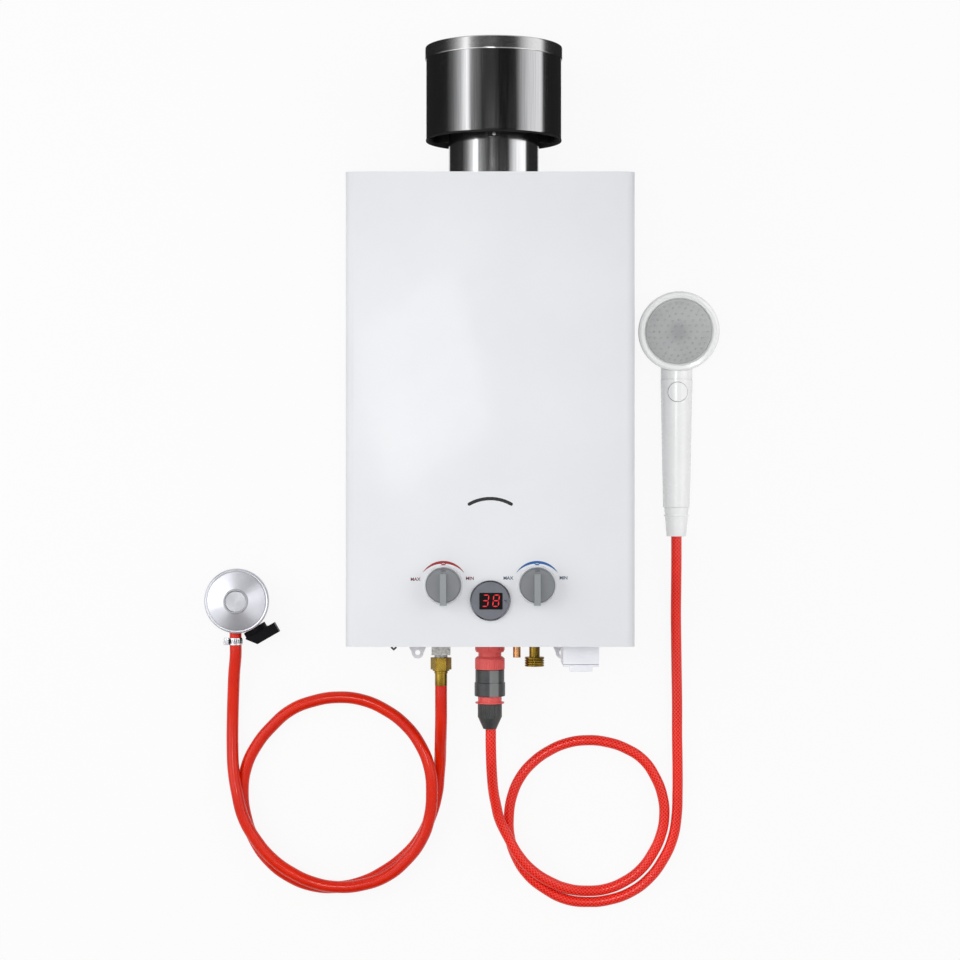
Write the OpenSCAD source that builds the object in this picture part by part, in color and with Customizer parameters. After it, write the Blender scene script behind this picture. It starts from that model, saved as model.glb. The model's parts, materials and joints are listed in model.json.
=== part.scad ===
// Portable propane water heater, lying on its back with its gas hose, regulator
// and hand shower laid out beside it.
// X runs across the heater, Y runs up it towards the flue, Z comes out of its
// front. The origin is the centre of the casing's back face. Millimetres.

/* [Casing] */
// Width of the casing
case_w = 300; // [296:1:330]
// Height of the casing, without the flue and the fittings
case_h = 492; // [486:1:540]
// Depth of the casing, from its back to its front
case_d = 140; // [137:1:155]
// Thickness of the sheet steel
sheet = 0.8; // [0.6:0.1:1.5]
// Radius of the two long front edges
edge_r = 9; // [4:1:12]
// Height of the bent side flanges of the back plate
flange_h = 16; // [14:1:22]
// Width of a wall tab where it leaves the casing
tab_w = 28; // [24:1:34]
// Distance between the two wall tabs
tab_pitch = 158; // [130:1:164]
// Distance from the casing's bottom edge to a wall tab's hole
tab_reach = 16.5; // [14:0.5:24]
// Diameter of a wall tab's hole
tab_hole = 5.5; // [4:0.5:7]
// Distance from the casing's top edge to the hanging keyhole
keyhole_drop = 34; // [28:1:50]
// Distance from the bottom edge to the top of the arched viewing slot
slot_up = 153.5; // [130:0.5:200]
// Radius of the arched viewing slot
slot_r = 44; // [36:1:60]
// Half of the angle that the viewing slot spans
slot_angle = 29.6; // [20:0.2:36]
// Width of the viewing slot
slot_w = 3.5; // [2.5:0.5:5]

/* [Flue] */
// Distance of the flue's axis from the middle of the casing
flue_x = 4; // [-10:1:10]
// Outer diameter of the flue pipe
flue_d = 96; // [80:1:98]
// Wall of the flue pipe, the drum and the lid
flue_wall = 0.8; // [0.6:0.1:1.2]
// Distance that the flue pipe stands above the casing
flue_rise = 80; // [70:1:100]
// Outer diameter of the rain cap's drum
drum_d = 143.8; // [136:0.2:160]
// Gap between the casing and the drum's open lower edge
drum_gap = 40.5; // [34:0.5:48]
// Height of the drum
drum_h = 98; // [84:1:120]
// Height of the lid's skirt
lid_h = 12; // [8:1:16]
// Rise of the lid's dome
lid_dome = 3; // [1:0.5:5]
// Width of the collar's flange round the flue pipe
collar_w = 11; // [10:0.5:12]

/* [Burner and heat exchanger] */
// Gap between the combustion chamber and the casing's sides
chamber_side = 42; // [38:1:46]
// Gap between the casing's back and the combustion chamber
chamber_back = 25; // [24:0.5:27]
// Gap between the combustion chamber and the casing's front
chamber_front = 15; // [13:0.5:16]
// Height of the flue hood
hood_h = 110; // [90:1:130]
// Thickness of the chamber's copper sheet
copper_t = 0.8; // [0.6:0.1:1.4]
// Height of a heat exchanger fin
fin_h = 60; // [48:1:70]
// Thickness of a heat exchanger fin
fin_t = 0.5; // [0.4:0.1:0.8]
// Number of fins
fin_count = 24; // [12:1:28]
// Outer diameter of the heat exchanger's tubes
tube_d = 14; // [12:0.5:16]
// Wall of the water tubes
tube_wall = 1; // [0.8:0.1:1.4]
// Distance between the heat exchanger's tubes
tube_pitch = 23.4; // [21:0.2:25]
// Distance of the burner tray from the chamber's sides
burner_side = 8; // [6:1:13]
// Height of the burner tray
burner_h = 46; // [40:1:52]
// Distance of the burner tray from the chamber's back and front
burner_inset = 5; // [4:0.5:9]
// Number of burner blades
blade_count = 9; // [6:1:11]
// Thickness of a burner blade
blade_t = 10; // [8:0.5:12]

/* [Controls and display] */
// Distance between the two knobs
knob_pitch = 97; // [92:1:104]
// Height of the knobs above the casing's bottom edge
knob_up = 64; // [62:1:70]
// Diameter of a knob
knob_d = 37; // [32:1:38]
// Height of a knob's face above its collar
knob_h = 14; // [10:1:18]
// Diameter of the fixed collar under a knob
collar_d = 41; // [40:1:44]
// Width of the grip bar on a knob
bar_w = 6.5; // [5:0.5:8]
// Length of the grip bar on a knob
bar_l = 32.5; // [28:0.5:36]
// Diameter of a control spindle
spindle_d = 8; // [6:0.5:9]
// Height of the display above the casing's bottom edge
display_up = 48; // [44:1:52]
// Outer diameter of the display's bezel
bezel_d = 42; // [38:1:44]

/* [Water and gas fittings] */
// Height of the fittings above the casing's back
fitting_z = 48; // [44:1:54]
// Place of the gas inlet across the casing
gas_x = -52.5; // [-58:0.5:-48]
// Place of the drain across the casing
drain_x = 29; // [27:0.5:31]
// Place of the cold water inlet across the casing
cold_x = 48; // [44:0.5:52]
// Outer diameter of a half inch pipe thread
thread_d = 20.9; // [20:0.1:21.5]
// Width across the flats of the gas union nut
union_af = 19.5; // [18:0.5:22]
// Travel of the quick connector's release sleeve
sleeve_travel = 4.5; // [3:0.5:5.5]

/* [Battery box] */
// Left side of the battery box
battery_x = 76.5; // [75:0.5:90]
// Back of the battery box above the casing's back
battery_z = 40; // [34:1:48]
// Diameter of a battery
cell_d = 33.2; // [32:0.2:34]
// Length of a battery
cell_l = 61.5; // [58:0.5:62]
// Wall of the battery box
box_wall = 1.8; // [1.4:0.1:2.4]
// Distance that the battery box stands below the casing
box_drop = 20.5; // [14:0.5:26]

/* [Regulator and gas hose] */
// Place of the regulator across the layout
reg_x = -273.5; // [-280:0.5:-268]
// Place of the regulator along the layout
reg_y = -204; // [-206:0.5:-200]
// Diameter of the regulator's cover
reg_d = 70; // [64:1:76]
// Height of the regulator on its cylinder coupling
reg_h = 50; // [46:1:56]
// Diameter of the cylinder valve that the coupling takes
coupling_bore = 27; // [20:0.5:28]
// Diameter of the gas hose
gas_hose_d = 13; // [11:0.5:13]

/* [Hand shower and hose] */
// Place of the hand shower across the layout
shower_x = 203.5; // [200:0.5:207]
// Diameter of the shower head
head_d = 87.4; // [80:0.2:94]
// Tilt of the shower head's face towards its handle
head_tilt = 16; // [8:1:20]
// Diameter of the spray plate
spray_d = 71; // [62:0.5:74]
// Diameter of the handle below the head
handle_d1 = 34.8; // [32:0.2:36]
// Diameter of the handle at its tail
handle_d2 = 29.2; // [28:0.2:30]
// Diameter of the button
button_d = 21; // [18:0.5:22]
// Travel of the button
button_travel = 3; // [2:0.5:4]
// Diameter of the shower hose
shower_hose_d = 11.5; // [10:0.5:11.5]

/* [Clearances] */
// Gap between pieces that are fixed to each other
fit = 0.15; // [0.1:0.05:0.25]
// Gap between pieces that move past each other
run = 0.4; // [0.3:0.1:0.6]
// Gap round a shaft in its bore
shaft_gap = 0.05; // [0.03:0.01:0.1]

/* [Hidden] */
$fn = 48;

over = 1;                              // how far a cut runs past a face
y_bot = -case_h / 2;
y_top = case_h / 2;
inner_w = case_w - 2 * sheet;          // inside the cover's walls
plate_w = inner_w - 2 * fit;

// Wall tabs, keyhole and screws
tab_end_r = 6.5;
keyhole_d = 12;
keyhole_slot_w = 6;
keyhole_slot_l = 12;
screw_d = 3.8;
screw_head_d = 8;
screw_head_h = 2;
screw_l = 6;
side_screw_z = 8;
side_screw_inset = 40;
screw_hole_d = screw_d + 2 * fit;

// Chamber, its burner and its flue follow the casing's depth
chamber_d = case_d - chamber_back - chamber_front;
burner_d = chamber_d - 2 * burner_inset;
flue_z = chamber_back + chamber_d / 2;

// Flue
flue_r = flue_d / 2;
drum_r = drum_d / 2;
collar_bore_r = flue_r + fit;
collar_t = 1.2;
collar_wall = 1;
collar_screw_r = flue_r + collar_w / 2 + 1;
collar_spigot_l = 6;
hood_gap = 10;                         // from the hood's top to the casing's top
hood_y = y_top - hood_gap;
strap_w = 12;
strap_h = 14;
strap_t = 1;
strap_lift = 3.5;                      // straps above the drum's open edge
strap_foot_t = 1;
strap_foot_drop = 5;                   // foot below the strap, for its screw
strap_screw_d = 1.8;
strap_screw_l = 4;
strap_angles = [90, 210, 330];
drum_y0 = y_top + drum_gap;
drum_y1 = drum_y0 + drum_h;

// Burner, chamber and valves, worked out from the casing's bottom edge
chamber_w = case_w - 2 * chamber_side;
burner_w = chamber_w - 2 * burner_side;
burner_up = 122;                       // burner tray above the bottom edge
burner_y0 = y_bot + burner_up;
burner_y1 = burner_y0 + burner_h;
burner_wall = 1;
rail_h = 3;
rail_w = 6;
blade_gap = 1;                         // blade clear of the tray's wall
port_count = 7;
port_w = 1.4;
port_depth = 3;
blade_wall = 0.8;                      // wall of a hollow burner blade
manifold_r = 8;
manifold_y = burner_y0 - 14;
manifold_l = burner_w - 20;
jet_r = 2.5;
chamber_y0 = burner_y1 + 8;
chamber_y1 = hood_y - hood_h;
chamber_z0 = chamber_back;
fin_gap = 0.3;
fin_drop = 8;                          // fins below the chamber's top edge
tube_y = chamber_y1 - fin_drop - fin_h / 2;
tube_r = tube_d / 2;
tube_stub = 6;                         // tube past the chamber's wall
tube_tail = 16;                        // the two open tube ends
foot_w = 14;
foot_t = 1.5;
hood_t = 0.8;
electrode_x = 32;
electrode_z = flue_z + burner_d / 2 + 3.3;
ceramic_r = 3.2;
ceramic_l = 32;
pin_r1 = 1;
pin_past = 4;                          // pin past both ends of its ceramic
tip_l = 22;
valve_y0 = y_bot + 31;
valve_y1 = y_bot + 96;
valve_z0 = 30;
valve_z1 = 80;
valve_w = 48;
coil_z = (valve_z0 + valve_z1) / 2;    // middle of the gas valve's coil
coil_drop = 24;
coil_r = 10;
coil_h = 9;
spigot_r = 7;
boss_r = 9;
boss_z1 = 96;
spindle_r = spindle_d / 2;
spindle_bore_r = spindle_r + shaft_gap;
spindle_z0 = 72;
knob_x = knob_pitch / 2;
knob_y = y_bot + knob_up;
flat_cut = 1.2;                        // depth of a spindle's flat
water_r = 27;
water_x0 = 36;
water_x1 = 72;
water_z = 52;
fitting_top = y_bot + 12;              // inner end of the bottom fittings
rod_r = 1.5;
rod_x0 = 60;
rod_x1 = 84.5;
rod_travel = 3;
switch_x = rod_x1 + rod_travel + 0.5;
switch_w = 10;
switch_l = 20;
switch_h = 20;
control_l = 78;
control_h = 32;
control_side = 8;                      // control box from the casing's side
control_gap = 13.5;                    // control box from the gas valve
control_x = -case_w / 2 + control_side;
control_w = -knob_x - valve_w / 2 - control_gap - control_x;
control_y = y_bot + 32;
lead_r = 1.3;

// Knobs and display
knob_r = knob_d / 2;
knob_collar_t = 2;
knob_z0 = case_d + knob_collar_t + run;
knob_z1 = knob_z0 + knob_h;
bar_h = 5;
bar_up = 12.2;                         // bar's upper end above the knob's centre
spindle_hole_r = spindle_r + 2.5;
spindle_z1 = knob_z1 - 4;
display_y = y_bot + display_up;
bezel_r = bezel_d / 2;
bezel_lip_h = 3.5;
bezel_tube_r = bezel_r - 4;
bezel_tube_l = 13;
bezel_wall = 1.5;
panel_t = 2;
board_t = 1.6;

// Battery box, its lid and its hinge
cell_gap = 0.4;
cell_bay = cell_d + 2 * cell_gap;
box_w = cell_bay + 2 * box_wall;
box_d = 2 * cell_bay + 2 * box_wall;
lid_t = 2;
box_y0 = y_bot - box_drop;             // open lower end of the box
contact_t = 0.6;
spring_l = 2.5;
box_y1 = box_y0 + cell_l + spring_l + contact_t + box_wall;
knuckle_r = 2.5;
pin_r = 1.2;
hinge_z = battery_z - knuckle_r - run;
hinge_y = box_y0 - 0.5;
knuckle_l = 8;
tab_l = 24;                            // finger tab of the lid
tab_drop = 5;
tab_t = 3;

// Gas inlet and union
block_w = 20;
block_y = y_bot - 15;
neck_r = 7;
neck_y = y_bot - 18;
union_y = neck_y - 14.5;
ferrule_y = union_y - 15.9;
ferrule_r = 6.6;
union_r = union_af / (2 * cos(30));

// Hot outlet and quick connector
hot_x = 0;
hot_stub_y = y_bot - 3;
adapter_y = hot_stub_y - 9;
adapter_r = 16;
adapter_neck_r = 12.4;
adapter_neck_y = adapter_y - 5;
connector_r = 16;
ring_y = adapter_neck_y - 13.5;        // lower end of the ribbed ring
sleeve_y = ring_y - 29;
neck_gap = 2;                          // left past the sleeve's travel
wing_y = sleeve_y - sleeve_travel - neck_gap;
wing_t = 1.2;
connector_y = wing_y - wing_t;
connector_core_r = 12.8;
nut_r = 13;
nut_straight = 14.5;
nut_cone = 13;
nut_y = connector_y - nut_straight - nut_cone;
flute_count = 14;
rib_count = 36;

// Regulator
barb_z = 20;
barb_dx = -3;
barb_len = 29;                         // from the regulator's centre to the hose
coupling_wall = 4;
coupling_h = 16;
reg_rim_z = reg_h - 15.5;
reg_boss_r = 13.2;
reg_body_r = 22;
tap_angle = -60;                       // direction of the tap's axis
tap_z = 20;
tap_root = 18.5;                       // bosses start outside the coupling
tap_end = 34;
lever_r = 13.5;
lever_reach = 22;
lever_base = 5.4;
lever_l = 17.5;
lever_t = 15;
clamp_w = 7.5;
clamp_t = 0.8;
clamp_back = 12;                       // clamp from the hose's end

// Hand shower
head_y = 86;
head_z = 47;                           // centre of the face
head_r = head_d / 2;
spray_r = spray_d / 2;
spray_t = 3;
handle_y1 = 36;
handle_y2 = -103;
tail_y = -134.6;
tail_r1 = 13.3;
tail_r2 = 10.7;
neck_l = 9;                            // straight part of the neck
neck_bend = 20;                        // radius of the neck's bend
neck_turn = 50;
neck_end = 9;
button_y = 22;
button_z0 = 27.3;
button_r = button_d / 2;
tail_z = handle_d2 / 2;
water_bore_r = 4.5;

// Routes of the two hoses, from the heater outwards: x, y, z of the hose's middle
low_g = 6.5;                            // height of the gas hose where it lies
gas_route = [[gas_x, ferrule_y, fitting_z], [gas_x, -309, fitting_z],
    [-52.5, -328, 45.5], [-53, -347, 38], [-53.5, -361, 28], [-54, -376, 17],
    [-55.5, -395, 9], [-57.5, -415, low_g],
    [-65, -442, low_g], [-77, -466, low_g], [-95, -486, low_g],
    [-116, -501.5, low_g], [-139.5, -513, low_g], [-166, -518.5, low_g],
    [-193, -517, low_g], [-219, -507, low_g], [-241, -490, low_g],
    [-257, -467.5, low_g], [-266.5, -442, low_g], [-270, -415, low_g],
    [-266.5, -388, low_g], [-255, -363.5, low_g], [-238, -342.5, low_g],
    [-217.5, -325, low_g], [-192.5, -315, low_g], [-166, -311, low_g],
    [-139, -314, 7], [-114, -324.5, 9], [-92, -340.5, 14], [-75.5, -361.5, 20.5],
    [-65.5, -386, 24.5], [-63, -412.5, 24.5], [-65.5, -439.5, 22],
    [-74.5, -465, 20.5], [-91, -487, 20.5], [-112, -504, 20.5],
    [-138, -513.5, 20.5], [-165, -516, 20.5], [-191, -511.5, 20.5],
    [-215.5, -500.5, 20.5], [-237, -485, 20.5], [-254.5, -464.5, 20.5],
    [-268, -440.5, 20.5], [-275, -413.5, 19.5], [-279.5, -388, 14.5],
    [-281, -362, 10], [-281, -335, 8.5], [-280, -308, 11], [-278.5, -284, 16],
    [reg_x + barb_dx, -263, barb_z - 0.5], [reg_x + barb_dx, -247, barb_z],
    [reg_x + barb_dx, reg_y - barb_len, barb_z]];
low_s = 6;                              // height of the shower hose where it lies
shower_route = [[hot_x + 1, nut_y, fitting_z], [hot_x + 1, -356, fitting_z],
    [1.5, -376, 46], [2.5, -395, 39.5], [4, -411, 31], [6.5, -425, 24.5],
    [10.5, -442, 20], [20, -462, 18.2], [31.5, -482, 18.2], [46.5, -498.5, 17.5],
    [65, -511, 14.5], [85, -519.5, 10.5], [106.5, -522.5, 7.5],
    [128, -520.5, low_s], [147.5, -512.5, low_s], [165, -499.5, low_s],
    [178, -482, low_s], [187, -462.5, low_s], [191, -441, low_s],
    [189, -419, low_s], [181, -398, low_s], [168, -379.5, low_s],
    [149, -367, low_s], [128, -360, low_s], [106.5, -358, low_s],
    [85, -361, low_s], [65, -369.5, low_s], [47.5, -382, low_s],
    [33.5, -398.5, low_s], [24.5, -419, low_s], [21, -441, low_s],
    [22, -463.5, low_s], [29, -485.5, low_s], [42, -505.5, low_s],
    [60.5, -520.5, low_s], [82, -531.5, low_s], [106.5, -535, low_s],
    [131, -532.5, low_s], [154.5, -524, low_s], [174.5, -509, low_s],
    [189.5, -489, low_s], [200, -466, low_s], [204.5, -441, low_s],
    [205.5, -414.5, low_s], [205.5, -386, low_s], [205, -352, low_s],
    [205, -318, low_s], [204.5, -284, low_s], [204, -250, low_s + 0.5],
    [shower_x, -218, 8.5], [shower_x, -188, 12], [shower_x, -160, 14.5],
    [shower_x, -147, tail_z], [shower_x, tail_y, tail_z]];
hose_sides = 10;

// ---- Helpers -------------------------------------------------------------

// Points its child's +Z down the heater, towards the hoses
module downwards(x, y, z) {
    translate([x, y, z]) rotate([90, 0, 0]) children();
}

// Points its child's +Z up the heater, towards the flue
module upwards(x, y, z) {
    translate([x, y, z]) rotate([-90, 0, 0]) children();
}

// A round tube
module tube(r, wall, h) {
    difference() {
        cylinder(r = r, h = h);
        translate([0, 0, -over]) cylinder(r = r - wall, h = h + 2 * over);
    }
}

// A ring with a flat, square cross section
module washer(r, bore_r, h) {
    difference() {
        cylinder(r = r, h = h);
        translate([0, 0, -over]) cylinder(r = bore_r, h = h + 2 * over);
    }
}

// A closed rectangular tube that is open along Y, at a corner
module duct(size, wall) {
    difference() {
        cube(size);
        translate([wall, -over, wall])
            cube([size[0] - 2 * wall, size[1] + 2 * over, size[2] - 2 * wall]);
    }
}

function unit(v) = v / norm(v);

// Direction of a route at its point i
function heading(route, i) =
    let (n = len(route) - 1)
    unit(route[min(i + 1, n)] - route[max(i - 1, 0)]);

// One ring of a swept tube, square to the route
function ring(route, i, r, sides) =
    let (t = i == 0 ? unit(route[1] - route[0])
            : i == len(route) - 1 ? unit(route[i] - route[i - 1])
            : heading(route, i),
        up = abs(t[2]) > 0.95 ? [0, 1, 0] : [0, 0, 1],
        side = unit(cross(t, up)),
        lift = cross(side, t))
    [for (k = [0 : sides - 1])
        let (a = 360 * (k + 0.5) / sides)
        route[i] + r * cos(a) * side + r * sin(a) * lift];

// A tube swept along a route, as one closed body of triangles
module swept(route, r, sides) {
    n = len(route);
    points = [for (i = [0 : n - 1]) each ring(route, i, r, sides)];
    walls = [for (i = [0 : n - 2], k = [0 : sides - 1])
        let (a = i * sides + k, b = i * sides + (k + 1) % sides)
        each [[a, b, b + sides], [a, b + sides, a + sides]]];
    first = [for (k = [1 : sides - 2]) [0, k + 1, k]];
    base = (n - 1) * sides;
    last = [for (k = [1 : sides - 2]) [base, base + k, base + k + 1]];
    polyhedron(points = points, faces = concat(walls, first, last));
}

// Length of a route
function route_length(route) =
    len(route) < 2 ? 0
    : sum([for (i = [0 : len(route) - 2]) norm(route[i + 1] - route[i])]);
function sum(list, i = 0) = i >= len(list) ? 0 : list[i] + sum(list, i + 1);

// Least gap of a hose to itself, measured between turns on finer points
function finer(route) = [for (i = [0 : len(route) - 2], s = [0, 1, 2])
    route[i] + (route[i + 1] - route[i]) * s / 3];
function self_gap(route, d) =
    let (p = finer(route), apart = 12)
    min([for (i = [0 : len(p) - 1 - apart], j = [i + apart : len(p) - 1])
        norm(p[i] - p[j])]) - d;

echo(str("gas hose: length ", route_length(gas_route), " mm, least gap to itself ",
    self_gap(gas_route, gas_hose_d), " mm"));
echo(str("shower hose: length ", route_length(shower_route),
    " mm, least gap to itself ", self_gap(shower_route, shower_hose_d), " mm"));

// ---- Casing --------------------------------------------------------------

// Cross section of the cover, X by Z, drawn in by an inset
module cover_section(inset) {
    r = edge_r - inset;
    w = case_w / 2 - inset;
    d = case_d - inset;
    translate([-w, 0]) square([2 * w, d - r]);
    translate([-w + r, 0]) square([2 * (w - r), d]);
    for (s = [-1, 1]) translate([s * (w - r), d - r]) circle(r);
}

// Drills the cover and the back plate for the side screws
module side_screw_places() {
    for (s = [-1, 1], y = [y_bot + side_screw_inset, y_top - side_screw_inset])
        translate([s * case_w / 2, y, side_screw_z])
            rotate([0, s * 90, 0]) children();
}

module collar_screw_places() {
    for (a = [45 : 90 : 315])
        upwards(flue_x + collar_screw_r * cos(a), y_top + collar_t,
            flue_z + collar_screw_r * sin(a)) children();
}

module strap_places() {
    for (a = strap_angles)
        translate([flue_x, drum_y0 + strap_lift, flue_z]) rotate([0, -a, 0])
            children();
}

// On the flue pipe's side of each strap, with +Z away from the pipe
module strap_screw_places() {
    strap_places() translate([flue_r + fit / 2 + strap_foot_t, -strap_foot_drop / 2, 0])
        rotate([0, 90, 0]) children();
}

module strap_screw_holes() {
    strap_screw_places() translate([0, 0, -strap_screw_l - over])
        cylinder(d = strap_screw_d + 2 * fit, h = strap_screw_l + 2 * over);
}

module tab_outline() {
    polygon([[-tab_w / 2, over], [-tab_w / 2, 0], [-tab_end_r, -tab_reach],
        [tab_end_r, -tab_reach], [tab_w / 2, 0], [tab_w / 2, over]]);
    translate([0, -tab_reach]) circle(tab_end_r);
}

module back_plate() color("gainsboro") difference() {
    union() {
        translate([-plate_w / 2, y_bot, 0])
            cube([plate_w, case_h - sheet - fit, sheet]);
        for (s = [-1, 1]) {
            translate([s * tab_pitch / 2, y_bot, 0])
                linear_extrude(sheet) tab_outline();
            translate([s * (plate_w - sheet) / 2 - sheet / 2, y_bot + 2 * sheet, 0])
                cube([sheet, case_h - 4 * sheet, flange_h]);
        }
    }
    for (s = [-1, 1])
        translate([s * tab_pitch / 2, y_bot - tab_reach, -over])
            cylinder(d = tab_hole, h = sheet + 2 * over);
    translate([0, y_top - keyhole_drop, -over]) {
        cylinder(d = keyhole_d, h = sheet + 2 * over);
        translate([-keyhole_slot_w / 2, 0, 0])
            cube([keyhole_slot_w, keyhole_slot_l, sheet + 2 * over]);
        translate([0, keyhole_slot_l, 0])
            cylinder(d = keyhole_slot_w, h = sheet + 2 * over);
    }
    side_screw_places() translate([0, 0, -screw_l - over])
        cylinder(d = screw_hole_d, h = screw_l + 2 * over);
}

// The arched viewing slot, cut through the front
module view_slot(h) {
    translate([0, y_bot + slot_up - slot_r, case_d - h]) {
        rotate([0, 0, 90 - slot_angle]) rotate_extrude(angle = 2 * slot_angle)
            translate([slot_r - slot_w / 2, 0]) square([slot_w, h + over]);
        for (s = [-1, 1])
            rotate([0, 0, 90 + s * slot_angle]) translate([slot_r, 0, 0])
                cylinder(d = slot_w, h = h + over);
    }
}

module front_cover() color("white") difference() {
    downwards(0, y_top, 0) linear_extrude(case_h) cover_section(0);
    downwards(0, y_top - sheet, -over) linear_extrude(case_h)
        translate([0, over]) cover_section(sheet);
    translate([-inner_w / 2, y_bot - over, -over])
        cube([inner_w, case_h - sheet + over, 2 * over]);
    upwards(flue_x, y_top - sheet - over, flue_z)
        cylinder(r = collar_bore_r + collar_wall + fit, h = sheet + 2 * over);
    collar_screw_places() translate([0, 0, -screw_l])
        cylinder(d = screw_hole_d, h = screw_l);
    side_screw_places() translate([0, 0, -sheet - over])
        cylinder(d = screw_hole_d, h = sheet + 2 * over);
    for (s = [-1, 1]) translate([s * knob_x, knob_y, case_d - sheet - over])
        cylinder(r = spindle_hole_r, h = sheet + 2 * over);
    translate([0, display_y, case_d - sheet - over])
        cylinder(r = bezel_tube_r + fit, h = sheet + 2 * over);
    view_slot(2 * sheet);
}

module base_panel() color("gainsboro") difference() {
    downwards(0, y_bot + sheet, sheet) linear_extrude(sheet) intersection() {
        translate([0, -sheet]) cover_section(sheet + fit);
        translate([-case_w / 2, 0]) square([case_w, case_d]);
    }
    translate([gas_x - block_w / 2 - fit, y_bot - over, fitting_z - block_w / 2 - fit])
        cube([block_w + 2 * fit, sheet + 2 * over, block_w + 2 * fit]);
    downwards(hot_x, y_bot + sheet + over, fitting_z)
        cylinder(d = thread_d + 2 * fit, h = sheet + 2 * over);
    downwards(drain_x, y_bot + sheet + over, fitting_z)
        cylinder(r = drain_r + fit, h = sheet + 2 * over);
    downwards(cold_x, y_bot + sheet + over, fitting_z)
        cylinder(r = cold_pipe_r + fit, h = sheet + 2 * over);
    translate([battery_x - fit, y_bot - over, battery_z - fit])
        cube([box_w + 2 * fit, sheet + 2 * over, box_d + 2 * fit]);
    translate([loop_x - 7, y_bot - over, loop_z - 3])
        cube([14, sheet + 2 * over, 6]);
}

// A pan head screw, its head standing on Z = 0
module pan_screw(d, head_d, head_h, l) {
    rotate_extrude() polygon([[0, head_h], [head_d * 0.2, head_h],
        [head_d * 0.42, head_h * 0.75], [head_d / 2, head_h * 0.3], [head_d / 2, 0],
        [d / 2, 0], [d / 2, -l], [0, -l]]);
}

module screws() color("silver") {
    side_screw_places() pan_screw(screw_d, screw_head_d, screw_head_h, screw_l);
    collar_screw_places() pan_screw(screw_d, screw_head_d, screw_head_h, screw_l);
    strap_screw_places() pan_screw(strap_screw_d, strap_screw_d * 2.1, strap_screw_d * 0.5,
        strap_screw_l);
}

module view_window() color("lightblue") {
    w = 60;
    h = 18;
    t = 2;
    translate([-w / 2, y_bot + slot_up - h / 2 - 3, case_d - sheet - t])
        cube([w, h, t]);
}

// ---- Flue ----------------------------------------------------------------

module flue_collar() color("silver") difference() {
    union() {
        upwards(flue_x, y_top, flue_z)
            washer(flue_r + collar_w, collar_bore_r, collar_t);
        upwards(flue_x, y_top - collar_spigot_l, flue_z)
            washer(collar_bore_r + collar_wall, collar_bore_r, collar_spigot_l);
    }
    collar_screw_places() translate([0, 0, -collar_t - over])
        cylinder(d = screw_hole_d, h = collar_t + 2 * over);
}

module flue_pipe() color("dimgray") difference() {
    upwards(flue_x, hood_y, flue_z) tube(flue_r, flue_wall, y_top + flue_rise - hood_y);
    strap_screw_holes();
}

module cap_drum() color("dimgray")
    upwards(flue_x, drum_y0, flue_z) {
        tube(drum_r, flue_wall, drum_h);
        washer(drum_r + 0.5, drum_r - flue_wall, 1.2);
    }

// The lid's domed top, from its middle to its edge
function dome(r, rise) = let (big = (r * r + rise * rise) / (2 * rise))
    [for (k = [0 : 8]) let (x = r * k / 8) [x, rise - big + sqrt(big * big - x * x)]];

module cap_lid() color("silver") {
    skirt_r = drum_r + fit + flue_wall;
    upwards(flue_x, drum_y1 - lid_h + fit, flue_z) rotate_extrude() polygon(concat(
        [[skirt_r - flue_wall, 0], [skirt_r - flue_wall, lid_h], [0, lid_h]],
        [for (p = dome(skirt_r, lid_dome)) [p[0], lid_h + flue_wall + p[1]]],
        [[skirt_r, 0]]));
}

module cap_straps() color("gray") difference() {
    near = flue_r + fit / 2;
    far = drum_r - flue_wall - fit;
    strap_places() {
        translate([near, 0, -strap_t / 2]) cube([far - near - 0.3, strap_h, strap_t]);
        translate([near, -strap_foot_drop, -strap_w / 2])
            cube([strap_foot_t, strap_h + strap_foot_drop, strap_w]);
        translate([far - 0.3 - strap_foot_t, 0, -strap_w / 2])
            cube([strap_foot_t, strap_h, strap_w]);
    }
    upwards(flue_x, drum_y0 - over, flue_z) washer(drum_r, drum_r - flue_wall - fit, drum_h);
    strap_screw_holes();
}

// The sheet hood that gathers the flue gas, wide below and narrow above
module hood_section(inset) {
    w0 = chamber_w / 2 - inset;
    w1 = flue_r + 6 - inset;
    polygon([[-w0, 0], [w0, 0], [w0, 8], [flue_x + w1, hood_h - 12],
        [flue_x + w1, hood_h], [flue_x - w1, hood_h], [flue_x - w1, hood_h - 12],
        [-w0, 8]]);
}

module flue_hood() color("lightgray") difference() {
    translate([0, chamber_y1, chamber_z0]) linear_extrude(chamber_d) hood_section(0);
    translate([0, chamber_y1 - hood_t, chamber_z0 + hood_t])
        linear_extrude(chamber_d - 2 * hood_t) hood_section(hood_t);
    upwards(flue_x, hood_y - 2 * hood_t, flue_z)
        cylinder(r = flue_r - flue_wall, h = 4 * hood_t);
}

// ---- Heat exchanger ------------------------------------------------------

function tube_z(i) = flue_z + (i - 1.5) * tube_pitch;

// A bent foot that holds a duct off the back plate
module foot(x, y, z1) {
    translate([x - foot_w / 2, y, sheet]) cube([foot_w, foot_t, z1 - sheet]);
    translate([x - foot_w / 2, y, sheet]) cube([foot_w, foot_w, foot_t]);
}

module exchanger_shell() color("peru") difference() {
    union() {
        translate([-chamber_w / 2, chamber_y0, chamber_z0])
            duct([chamber_w, chamber_y1 - chamber_y0, chamber_d], copper_t);
        for (x = [-chamber_w / 3, chamber_w / 3])
            for (y = [chamber_y0 + 20, chamber_y1 - 20 - foot_w])
                foot(x, y, chamber_z0);
    }
    for (i = [0 : 3]) translate([-chamber_w / 2 - over, tube_y, tube_z(i)])
        rotate([0, 90, 0]) cylinder(r = tube_r + fit, h = chamber_w + 2 * over);
}

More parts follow.
